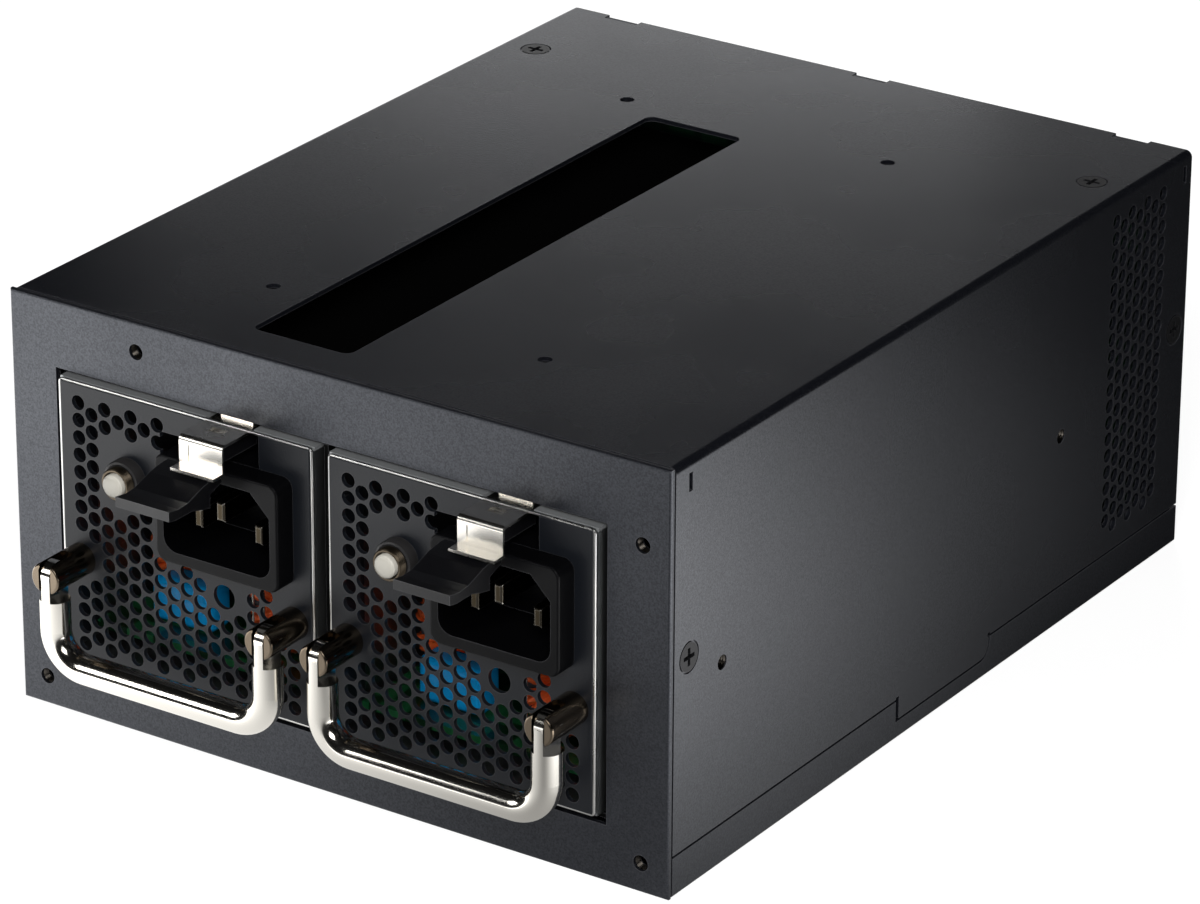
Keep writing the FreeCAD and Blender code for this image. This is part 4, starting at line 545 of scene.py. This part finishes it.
def solid(name: str, mesh: bmesh.types.BMesh, finish: Finish, smooth_below: float = 40.0) -> bpy.types.Object:
    """Turns mesh code into a dressed object.

    Args:
        name: Name of the piece.
        mesh: Geometry in millimetres, in the part's frame; it is freed.
        finish: Finish of the piece.
        smooth_below: Edges that turn less than this many degrees are shaded smooth.

    Returns:
        The new object.
    """
    bmesh.ops.scale(mesh, vec=(MM, MM, MM), verts=mesh.verts)
    bmesh.ops.recalc_face_normals(mesh, faces=mesh.faces)
    data = bpy.data.meshes.new(name)
    mesh.to_mesh(data)
    mesh.free()
    data.shade_smooth()
    data.set_sharp_from_angle(angle=math.radians(smooth_below))
    piece = bpy.data.objects.new(name, data)
    bpy.context.scene.collection.objects.link(piece)
    dress(piece, finish)
    return piece


def ring_strip(mesh: bmesh.types.BMesh, rings: list[list[Vector]], closed: bool) -> None:
    """Joins rings of points into a tube.

    Args:
        mesh: Mesh that gets the faces.
        rings: Rings of points, all with the same number of points.
        closed: Whether the last ring joins the first; otherwise both ends get a cap.
    """
    rows = [[mesh.verts.new(point) for point in ring] for ring in rings]
    pairs = list(zip(rows, rows[1:])) + ([(rows[-1], rows[0])] if closed else [])
    for low, high in pairs:
        for index in range(len(low)):
            following = (index + 1) % len(low)
            mesh.faces.new((low[index], low[following], high[following], high[index]))
    if not closed:
        mesh.faces.new(rows[0])
        mesh.faces.new(rows[-1])


class Axis(Enum):
    """Line that a turned piece stands on: which coordinate runs along it."""

    ACROSS = 0
    ALONG = 1


def turned(name: str, centre: tuple[float, float], profile: list[tuple[float, float]], finish: Finish,
           axis: Axis = Axis.ALONG, hollow: bool = False) -> bpy.types.Object:
    """Makes a turned piece about a line through the supply.

    Args:
        name: Name of the piece.
        centre: Place of the line in the other two coordinates, in order, in millimetres.
        profile: Radius and place along the line of each step, in millimetres.
        finish: Finish of the piece.
        axis: Which way the line runs.
        hollow: Whether the profile closes on itself round a bore; otherwise both ends get a cap.

    Returns:
        The new object.
    """
    mesh = bmesh.new()
    rings = []
    for radius, along in profile:
        ring = []
        for step in range(TURNED_SIDES):
            turn = math.tau * step / TURNED_SIDES
            spot = [centre[0] + radius * math.cos(turn), centre[1] + radius * math.sin(turn)]
            spot.insert(axis.value, along)
            ring.append(Vector(spot))
        rings.append(ring)
    ring_strip(mesh, rings, hollow)
    return solid(name, mesh, finish)


def swept(mesh: bmesh.types.BMesh, path: list[Vector], radius: float, sides: int, closed: bool) -> None:
    """Sweeps a round wire along a path.

    Args:
        mesh: Mesh that gets the wire.
        path: Points of the wire's middle, in millimetres.
        radius: Radius of the wire.
        sides: Points round the wire.
        closed: Whether the path ends where it starts.
    """
    count = len(path)
    rings = []
    normal = Vector((0.0, 0.0, 1.0))
    for index, point in enumerate(path):
        before = path[index - 1] if index or closed else point
        after = path[(index + 1) % count] if index < count - 1 or closed else point
        along = (after - before).normalized()
        normal = (normal - along * normal.dot(along)).normalized()
        across = along.cross(normal)
        rings.append([point + (normal * math.cos(math.tau * step / sides)
                               + across * math.sin(math.tau * step / sides)) * radius for step in range(sides)])
    ring_strip(mesh, rings, closed)


# What the softboxes point at, in millimetres: the cover's rear left, and the middle of the housing.
COVER_REAR: Point = (-40.0, 60.0, 86.0)
MIDDLE: Point = (0.0, 0.0, 40.0)


@dataclass(frozen=True)
class Softbox:
    """A studio lamp with a large soft face. Its places and sizes are in millimetres."""

    title: str
    place: Point
    target: Point
    size: tuple[float, float]
    radiance: float
    mirrored: bool = True

    def build(self) -> bpy.types.Object:
        """Adds the lamp, hidden from the camera and, if it only fills, from glossy surfaces, and returns it."""
        lamp = bpy.data.lights.new(self.title, "AREA")
        lamp.shape = "RECTANGLE"
        lamp.size, lamp.size_y = (side * MM for side in self.size)
        # Blender spreads a rectangle's power so that its radiance is a quarter of the power per area.
        lamp.energy = self.radiance * 4.0 * lamp.size * lamp.size_y
        stand = bpy.data.objects.new(self.title, lamp)
        stand.location = Vector(self.place) * MM
        stand.rotation_euler = (Vector(self.target) - Vector(self.place)).to_track_quat("-Z", "Y").to_euler()
        stand.visible_camera = False
        stand.visible_glossy = self.mirrored
        bpy.context.scene.collection.objects.link(stand)
        return stand


@dataclass(frozen=True)
class Glow:
    """A bright patch of the table that shows only in glossy surfaces, as a lit table does beside a dark room.

    Its place and reach are in metres, as the table's material needs them.
    """

    place: Point
    reach: float
    strength: float


@dataclass
class Studio:
    """White table, soft lamps and the camera of the photograph. Its angles are in degrees."""

    azimuth: float = 33.793
    elevation: float = 24.006
    roll: float = 0.26
    distance: float = 1221.463
    target: Point = (-3.898, 0.0, 35.014)
    lens: float = 184.595
    sensor: float = 36.0
    fill: float = 0.2
    # Half the width of the table, and its height under the part.
    table_half: float = 3000.0
    table_height: float = -0.05
    # What the camera sees of the table by its own light, and what glossy surfaces see of it beside the glows.
    table_white: float = 0.78
    table_dim: float = 0.03
    # What glossy surfaces see of the room at the horizon and above it.
    room_low: float = 0.02
    room_high: float = 0.004
    softboxes: tuple[Softbox, ...] = (
        Softbox("rear_left_card", (-190.0, 255.0, 130.0), COVER_REAR, (220.0, 110.0), radiance=0.5),
        Softbox("rear_left_softbox", (-235.0, 478.0, 176.0), COVER_REAR, (270.0, 140.0), radiance=0.48),
        Softbox("key_softbox", (530.0, -792.0, 600.0), MIDDLE, (420.0, 420.0), radiance=3.0),
        Softbox("key_fill_softbox", (500.0, -800.0, 620.0), MIDDLE, (420.0, 420.0), radiance=19.0,
                mirrored=False),
        Softbox("front_left_softbox", (-620.0, -700.0, 420.0), (0.0, -60.0, 40.0), (300.0, 300.0),
                radiance=4.0),
        Softbox("rear_fill_softbox", (-700.0, 900.0, 500.0), (0.0, 60.0, 40.0), (500.0, 500.0),
                radiance=9.0, mirrored=False),
    )
    glows: tuple[Glow, ...] = (
        Glow((-0.223, -0.132, 0.0), reach=0.355, strength=2.25),
        Glow((-0.391, -0.148, 0.0), reach=0.259, strength=2.0),
        Glow((0.339, -0.034, 0.0), reach=0.300, strength=2.9),
        Glow((0.262, -0.090, 0.0), reach=0.227, strength=2.8),
        Glow((-0.160, -0.313, 0.0), reach=0.190, strength=2.8),
    )

    def build(self) -> None:
        """Builds the whole studio."""
        for softbox in self.softboxes:
            softbox.build()
        self.build_floor()
        self.build_world()
        self.build_camera()
        bpy.context.scene.view_settings.view_transform = "Standard"

    def build_floor(self) -> None:
        """Adds the white table, which reads as white and keeps a faint shadow."""
        mesh = bmesh.new()
        bmesh.ops.create_grid(mesh, x_segments=4, y_segments=4, size=self.table_half,
                              matrix=Matrix.Translation((0.0, 0.0, self.table_height)))
        floor = solid("white_table", mesh, Finish("white_table_laminate", "#8f8f8f", 0.6, gloss=0.0))
        tree = floor.active_material.node_tree
        shader = tree.nodes["Principled BSDF"]
        rays = add_node(tree, "ShaderNodeLightPath")
        where = add_node(tree, "ShaderNodeTexCoord").outputs["Object"]
        level: bpy.types.NodeSocket | float = self.table_dim
        for glow in self.glows:
            gap = add_node(tree, "ShaderNodeVectorMath", {"operation": "DISTANCE"}, {0: where, 1: glow.place})
            patch = remap(tree, gap.outputs["Value"], (0.0, glow.reach), (glow.strength, 0.0), "SMOOTHSTEP")
            level = add_node(tree, "ShaderNodeMath", {"operation": "ADD"}, {0: patch, 1: level}).outputs[0]
        bright = add_node(tree, "ShaderNodeEmission", inputs={"Color": WHITE, "Strength": level})
        white = add_node(tree, "ShaderNodeEmission", inputs={"Color": WHITE, "Strength": self.table_white})
        seen = add_node(tree, "ShaderNodeAddShader", inputs={0: white.outputs[0], 1: shader.outputs[0]})
        glossy = choose(tree, rays.outputs["Is Glossy Ray"], shader.outputs[0], bright.outputs[0])
        final = choose(tree, rays.outputs["Is Camera Ray"], glossy, seen.outputs[0])
        tree.links.new(final, tree.nodes["Material Output"].inputs["Surface"])

    def build_world(self) -> None:
        """Makes the room: white to the camera, a soft fill on matt surfaces, almost dark in glossy ones."""
        world = bpy.data.worlds.new("photo_studio")
        bpy.context.scene.world = world
        world.use_nodes = True
        tree = world.node_tree
        tree.nodes.clear()
        rays = add_node(tree, "ShaderNodeLightPath")
        direction = add_node(tree, "ShaderNodeTexCoord").outputs["Generated"]
        height = add_node(tree, "ShaderNodeSeparateXYZ", inputs={0: direction}).outputs["Z"]
        sky = remap(tree, height, (0.0, 0.3), (self.room_low, self.room_high), "SMOOTHSTEP")
        fill, mirrored, white = (add_node(tree, "ShaderNodeBackground",
                                          inputs={"Color": WHITE, "Strength": strength}).outputs[0]
                                 for strength in (self.fill, sky, 1.0))
        glossy = choose(tree, rays.outputs["Is Glossy Ray"], fill, mirrored)
        seen = add_node(tree, "ShaderNodeMath", {"operation": "MAXIMUM"},
                        {0: rays.outputs["Is Camera Ray"], 1: rays.outputs["Is Transmission Ray"]})
        final = choose(tree, seen.outputs[0], glossy, white)
        add_node(tree, "ShaderNodeOutputWorld", inputs={"Surface": final})

    def build_camera(self) -> None:
        """Sets the camera where the photograph was taken from."""
        turn, rise, lean = (math.radians(angle) for angle in (self.azimuth, self.elevation, self.roll))
        back = Vector((math.sin(turn) * math.cos(rise), -math.cos(turn) * math.cos(rise), math.sin(rise)))
        right = Vector((math.cos(turn), math.sin(turn), 0.0))
        up = back.cross(right)
        level_right = math.cos(lean) * right + math.sin(lean) * up
        level_up = math.cos(lean) * up - math.sin(lean) * right
        lens = bpy.data.cameras.new("photo_camera")
        lens.lens, lens.sensor_width, lens.sensor_fit = self.lens, self.sensor, "HORIZONTAL"
        lens.clip_start, lens.clip_end = 0.01, 20.0
        camera = bpy.data.objects.new("photo_camera", lens)
        place = Matrix((level_right, level_up, back)).transposed().to_4x4()
        place.translation = (Vector(self.target) + back * self.distance) * MM
        camera.matrix_world = place
        bpy.context.scene.collection.objects.link(camera)
        bpy.context.scene.camera = camera


class Side(Enum):
    """The two bays, as seen from the front."""

    LEFT = "left"
    RIGHT = "right"


@dataclass
class ThreadedNut:
    """Thread of a clinch nut, seen as bright rings inside a fixing hole."""

    title: str
    centre: tuple[float, float]
    radius: float
    face: float
    depth: float
    axis: Axis
    pitch: float = 0.5
    # The wall reaches this far past the hole, and the thread's root and crest stand this far inside it.
    wall: float = 0.02
    root: float = 0.06
    crest: float = 0.3

    def build(self) -> bpy.types.Object:
        """Cuts the thread as a sleeve in the hole and returns it."""
        steps = [(self.radius + self.wall, self.face)]
        half_turn = math.copysign(self.pitch / 2, self.depth)
        for turn in range(int(abs(self.depth) / self.pitch)):
            place = self.face + math.copysign(turn * self.pitch, self.depth)
            steps += [(self.radius - self.root, place), (self.radius - self.crest, place + half_turn)]
        steps.append((self.radius + self.wall, self.face + self.depth))
        nut = turned(self.title, self.centre, steps, NUT_ZINC, self.axis, hollow=True)
        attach(nut, "cage")
        return nut


# Fixing holes of the frame: place across and up, in millimetres.
FRAME_HOLES = {"upper_left": (-45.0, 80.0), "upper_right": (69.0, 70.0),
               "lower_left": (-69.0, 6.0), "lower_right": (69.0, 6.0)}
FRAME_HOLE_RADIUS = 1.6
FRAME_NUT_INSET = 0.7
# Fixing holes of the sides: height, and distance from the frame's face or from the tray's rear.
SIDE_HOLE_HEIGHT = 41.5
SIDE_HOLE_FROM_FRONT = 17.4
SIDE_HOLE_FROM_REAR = 49.5
SIDE_HOLE_RADIUS = 1.5
SIDE_NUT_INSET = 0.3
NUT_DEPTH = 1.6


@dataclass
class Housing:
    """Folded housing, its bays and the backplane behind them."""

    nodes: dict[str, bpy.types.Object]
    finishes: dict[str, Finish] = field(default_factory=lambda: {
        "base_tray": FRAME_COAT, "top_cover": COVER_COAT, "rear_panel": LIT_REAR_COAT,
        "cable_grommet": GROMMET_RUBBER, "bay_floor": BAY_SHADE_COAT, "bay_roof": BAY_SHADE_COAT, "bay_divider": BAY_SHADE_COAT,
        "power_backplane": SHADED_BACKPLANE_MASK, "board_standoffs": STANDOFF_BRASS, "bay_sockets": BLACK_NYLON,
        "output_terminals": STANDOFF_BRASS, "alarm_buzzer": BLACK_NYLON, "backplane_capacitors": CAN_SLEEVE,
        "cover_screws": BLACK_OXIDE,
    })

    def build(self) -> None:
        """Dresses every node of the housing and taps its fixing holes."""
        for name, finish in self.finishes.items():
            dress(self.nodes[name], finish)
            LOG.info("dressed %s in %s", name, finish.title)
        low, high = (Vector(corner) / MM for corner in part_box("base_tray"))
        for label, hole in FRAME_HOLES.items():
            ThreadedNut(f"{label}_frame_nut", hole, FRAME_HOLE_RADIUS, low.y + FRAME_NUT_INSET, NUT_DEPTH,
                        Axis.ALONG).build()
        for label, y in (("front", low.y + SIDE_HOLE_FROM_FRONT), ("rear", high.y - SIDE_HOLE_FROM_REAR)):
            hole = (y, SIDE_HOLE_HEIGHT)
            ThreadedNut(f"{label}_side_nut", hole, SIDE_HOLE_RADIUS, high.x - SIDE_NUT_INSET, -NUT_DEPTH,
                        Axis.ACROSS).build()
            ThreadedNut(f"{label}_far_side_nut", hole, SIDE_HOLE_RADIUS, low.x + SIDE_NUT_INSET, NUT_DEPTH,
                        Axis.ACROSS).build()


@dataclass
class Choke:
    """Ring choke: enamelled wire wound through a ferrite ring."""

    side: Side
    label: str
    centre: Point
    ring_outer: float = 8.0
    ring_inner: float = 4.6
    ring_half: float = 3.0
    wire: float = 0.85
    turns: int = 26
    # Place of the first turn round the ring, in radians.
    start: float = 0.06
    # Radius of the wire's bend round the ring's edges, and how far its straight runs bow out.
    bend: float = 1.3
    bow: float = 0.18

    def loop(self, angle: float) -> list[Vector]:
        """Gives the path of one turn of wire round the ring.

        Args:
            angle: Place of the turn round the ring, in radians.

        Returns:
            Points of the turn, in millimetres.
        """
        inner, outer = self.ring_inner - self.wire, self.ring_outer + self.wire
        half, bend = self.ring_half + self.wire, self.bend
        corners = ((outer - bend, -half), (outer, -half + bend), (outer, half - bend), (outer - bend, half),
                   (inner + bend, half), (inner, half - bend), (inner, -half + bend), (inner + bend, -half))
        radial = Vector((math.cos(angle), 0.0, math.sin(angle)))
        middle = Vector(self.centre)
        path = []
        for index, corner in enumerate(corners):
            following = corners[(index + 1) % len(corners)]
            for share in (0.0, 0.5):
                radius = corner[0] + (following[0] - corner[0]) * share
                along = corner[1] + (following[1] - corner[1]) * share
                bow = self.bow if share and index % 2 == 0 else 0.0
                reach = radius + bow * (1 if index < 4 else -1)
                path.append(middle + radial * reach + Vector((0.0, along, 0.0)))
        return path

    def build(self) -> bpy.types.Object:
        """Winds the wire and returns it as one piece."""
        mesh = bmesh.new()
        gaps = (0, self.turns // 2)
        for turn in range(self.turns):
            if turn not in gaps:
                swept(mesh, self.loop(math.tau * turn / self.turns + self.start), self.wire, WIRE_SIDES, True)
        return solid(f"{self.side.value}_{self.label}_choke_wire", mesh, COPPER_WIRE, 60.0)


# Profiles of the reset button: radius and distance in front of the plate, in millimetres.
FLANGE_PROFILE = ((3.1, 2.35), (3.6, 2.6), (3.95, 2.45), (4.15, 2.0), (4.15, 0.0), (3.1, 0.0))
BUSHING_MOUTH = ((2.5, 2.2), (2.5, 4.1), (2.7, 4.3), (3.0, 4.3))
BUSHING_FOOT = ((3.2, 2.1), (3.2, 0.0), (2.6, 0.0), (2.6, 2.1))
CAP_PROFILE = ((POLE, 5.5), (1.2, 5.46), (1.9, 5.3), (2.25, 5.05), (2.35, 4.7), (2.35, 2.95), (POLE, 2.95))


@dataclass
class ResetButton:
    """Buzzer reset button: black flange, dark brown bushing and white cap."""

    side: Side
    centre: tuple[float, float]
    # Front face of the module's plate, and the bushing's thread.
    plate: float = -97.0
    thread_start: float = 4.1
    thread_turns: int = 4
    thread_pitch: float = 0.5
    thread_crest: float = 3.22
    thread_root: float = 3.02

    def ahead(self, profile: tuple[tuple[float, float], ...]) -> list[tuple[float, float]]:
        """Stands a profile on the plate.

        Args:
            profile: Radius and distance in front of the plate of each step.

        Returns:
            Radius and place along the supply of each step.
        """
        return [(radius, self.plate - reach) for radius, reach in profile]

    def build(self) -> list[tuple[bpy.types.Object, str]]:
        """Makes the flange, bushing and cap, and returns each with the name of its body's part."""
        side = self.side.value
        flange = turned(f"{side}_button_flange", self.centre, self.ahead(FLANGE_PROFILE), FLANGE_PLASTIC,
                        hollow=True)
        steps = self.ahead(BUSHING_MOUTH)
        for turn in range(self.thread_turns):
            place = self.plate - self.thread_start + turn * self.thread_pitch
            steps += [(self.thread_crest, place), (self.thread_root, place + self.thread_pitch / 2)]
        steps += self.ahead(BUSHING_FOOT)
        bushing = turned(f"{side}_button_bushing", self.centre, steps, BUSHING_NICKEL, hollow=True)
        cap = turned(f"{side}_button_cap", self.centre, self.ahead(CAP_PROFILE), WHITE_CAP)
        return [(flange, "module"), (bushing, "module"), (cap, "button")]


@dataclass
class FilmCapacitor:
    """Blue film capacitor: a box dipped in epoxy, so its edges are soft."""

    side: Side
    low: Vector
    high: Vector
    soft: float = 1.6

    def build(self) -> bpy.types.Object:
        """Makes the dipped box and returns it."""
        mesh = bmesh.new()
        middle = (self.low + self.high) / 2
        size = self.high - self.low
        bmesh.ops.create_cube(mesh, size=1.0, matrix=Matrix.Translation(middle) @ Matrix.Diagonal((*size, 1.0)))
        bmesh.ops.bevel(mesh, geom=list(mesh.edges), offset=self.soft, segments=6, profile=0.5, affect="EDGES")
        return solid(f"{self.side.value}_dipped_capacitor", mesh, BLUE_EPOXY, 60.0)


# Profile of the lamp's lens: radius and distance behind its tip, in millimetres.
LENS_PROFILE = ((0.05, 0.0), (0.6, 0.12), (1.05, 0.42), (1.36, 0.86), (1.5, 1.5), (1.5, 3.5), (1.9, 3.6),
                (1.9, 4.5))
# Path of a lamp lead down to the board: share of its spread, distance behind the lens, and fall.
LEAD_PATH = ((0.5, -0.2, 0.0), (0.5, 1.6, 0.0), (0.8, 2.6, 1.0), (1.0, 2.6, 4.0))


@dataclass
class StatusLamp:
    """Lamp of a module: a small domed lens whose leads bend down to the board."""

    side: Side
    centre: tuple[float, float]
    front: float
    board: float
    # Each lead stands this far from the lamp's middle: half of the usual 2.54 mm.
    spread: float = 1.27
    lead: float = 0.25

    def build(self) -> list[bpy.types.Object]:
        """Makes the lens and its leads."""
        x, z = self.centre
        steps = [(radius, self.front + reach) for radius, reach in LENS_PROFILE]
        lens = turned(f"{self.side.value}_lamp_lens", self.centre, steps, LENS_EPOXY)
        rear = steps[-1][1]
        mesh = bmesh.new()
        for across in (-self.spread, self.spread):
            leg = [Vector((x + across * share, rear + reach, z - fall)) for share, reach, fall in LEAD_PATH]
            leg.append(Vector((leg[-1].x, leg[-1].y, self.board)))
            swept(mesh, leg, self.lead, WIRE_SIDES, False)
        leads = solid(f"{self.side.value}_lamp_leads", mesh, PIN_STEEL)
        return [lens, leads]


@dataclass
class ShellRim:
    """Front edge of the zinc shell, rounded by the shear: a thin line round the black plate, its zinc painted
    near white as a highlight.
    """

    side: Side
    low: Vector
    high: Vector
    radius: float = 0.34
    bend: float = 0.6
    # How far the edge stands in front of the shell's face.
    stand: float = 0.5
    corner_steps: int = 4
    sides: int = 12

    def build(self) -> bpy.types.Object:
        """Runs the rounded edge round the plate and returns it."""
        inset = self.radius + self.bend
        left, right = self.low.x + inset, self.high.x - inset
        bottom, top = self.low.z + inset, self.high.z - inset
        corners = ((left, bottom, 180.0), (right, bottom, 270.0), (right, top, 0.0), (left, top, 90.0))
        path = []
        for x, z, start in corners:
            for step in range(self.corner_steps + 1):
                turn = math.radians(start + step * 90.0 / self.corner_steps)
                path.append(Vector((x + self.bend * math.cos(turn), self.low.y - self.stand,
                                    z + self.bend * math.sin(turn))))
        mesh = bmesh.new()
        swept(mesh, path, self.radius, self.sides, True)
        return solid(f"{self.side.value}_shell_rim", mesh, HIGHLIGHT_RIM_ZINC)


# From the solid windings' outside to a wound choke's middle, across and along, in millimetres.
CHOKE_REACH = 10.0
CHOKE_HALF = 5.0
# From the top of the solid lamp to its middle.
LAMP_DROP = 2.0


@dataclass
class Module:
    """One hot swap module with all that stands on its front and inside it."""

    nodes: dict[str, bpy.types.Object]
    side: Side
    finishes: dict[str, Finish] = field(default_factory=lambda: {
        "module_shell": SHADED_SHEET_ZINC, "module_lid": LID_ZINC, "front_plate": PLATE_PAINT, "ac_inlet": INLET_NYLON,
        "inlet_blades": BLADE_PLATE, "latch_spring": LATCH_NICKEL, "latch_tab": BLACK_NYLON,
        "bail_handle": BAIL_CHROME, "handle_posts": POST_NICKEL, "handle_pins": PIN_STEEL,
        "reset_button": WHITE_CAP, "reset_barrel": FLANGE_PLASTIC, "status_led": LENS_EPOXY,
        "main_board": BOARD_MASK, "choke_cores": CORE_FERRITE, "choke_windings": COPPER_WIRE,
        "film_capacitor": BLUE_EPOXY, "bulk_capacitor": CAN_SLEEVE, "transformer": CORE_FERRITE,
        "heat_sinks": SINK_ALUMINIUM, "output_capacitors": CAN_SLEEVE, "fan_frame": FAN_PLASTIC,
        "fan_rotor": FAN_PLASTIC,
    })

    def build(self) -> None:
        """Dresses the module's nodes and makes its own pieces."""
        side = self.side.value
        for name, finish in self.finishes.items():
            dress(self.nodes[f"{side}_{name}"], finish)
        self.build_chokes()
        self.build_button()
        self.build_lamp()
        self.build_capacitor()
        self.build_rim()
        LOG.info("%s module dressed", side)

    def build_chokes(self) -> None:
        """Winds both chokes where the solid windings stand."""
        side = self.side.value
        low, high = (Vector(corner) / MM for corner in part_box(f"{side}_choke_windings"))
        height = (low.z + high.z) / 2
        places = {"far": (low.x + CHOKE_REACH, high.y - CHOKE_HALF, height),
                  "near": (high.x - CHOKE_REACH, low.y + CHOKE_HALF, height)}
        wires = [Choke(self.side, label, place).build() for label, place in places.items()]
        for wire in wires:
            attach(wire, f"{side}_module")
        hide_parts(f"{side}_choke_windings")
        LOG.info("%s chokes wound", side)

    def build_lamp(self) -> None:
        """Fits the lamp behind its hole in the plate."""
        side = self.side.value
        low, high = (Vector(corner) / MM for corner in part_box(f"{side}_status_led"))
        lens, leads = StatusLamp(self.side, ((low.x + high.x) / 2, high.z - LAMP_DROP), low.y, low.z).build()
        for piece, slot in ((lens, "lamp_lens"), (leads, "post_nickel")):
            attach(piece, f"{side}_module")
        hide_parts(f"{side}_status_led")
        LOG.info("%s lamp fitted", side)

    def build_capacitor(self) -> None:
        """Gives the film capacitor its dipped shape."""
        side = self.side.value
        low, high = (Vector(corner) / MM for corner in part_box(f"{side}_film_capacitor"))
        body = FilmCapacitor(self.side, low, high).build()
        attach(body, f"{side}_module")
        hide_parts(f"{side}_film_capacitor")
        LOG.info("%s capacitor dipped", side)

    def build_rim(self) -> None:
        """Runs the shell's front edge, painted bright as a highlight, round the plate."""
        side = self.side.value
        shell_low, shell_high = (Vector(corner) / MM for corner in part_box(f"{side}_module_shell"))
        lid_high = Vector(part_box(f"{side}_module_lid")[1]) / MM
        rim = ShellRim(self.side, shell_low, Vector((shell_high.x, shell_high.y, lid_high.z))).build()
        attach(rim, f"{side}_module")
        LOG.info("%s shell rim added", side)

    def build_button(self) -> None:
        """Fits the reset button over its solids."""
        side = self.side.value
        low, high = (Vector(corner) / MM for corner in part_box(f"{side}_reset_button"))
        pieces = ResetButton(self.side, ((low.x + high.x) / 2, (low.z + high.z) / 2)).build()
        slots = ("barrel_plastic", "post_nickel", "white_plastic")
        for (piece, part), slot in zip(pieces, slots):
            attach(piece, f"{side}_{part}")
        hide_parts(f"{side}_reset_barrel")
        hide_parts(f"{side}_reset_button")
        LOG.info("%s reset button fitted", side)


def main() -> None:
    """Loads the frame, dresses the supply and builds the studio."""
    logging.basicConfig(level=logging.INFO, format="%(name)s: %(message)s")
    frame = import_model()
    Housing(frame["nodes"]).build()
    for side in Side:
        Module(frame["nodes"], side).build()
    Studio().build()


if __name__ == "__main__":
    main()
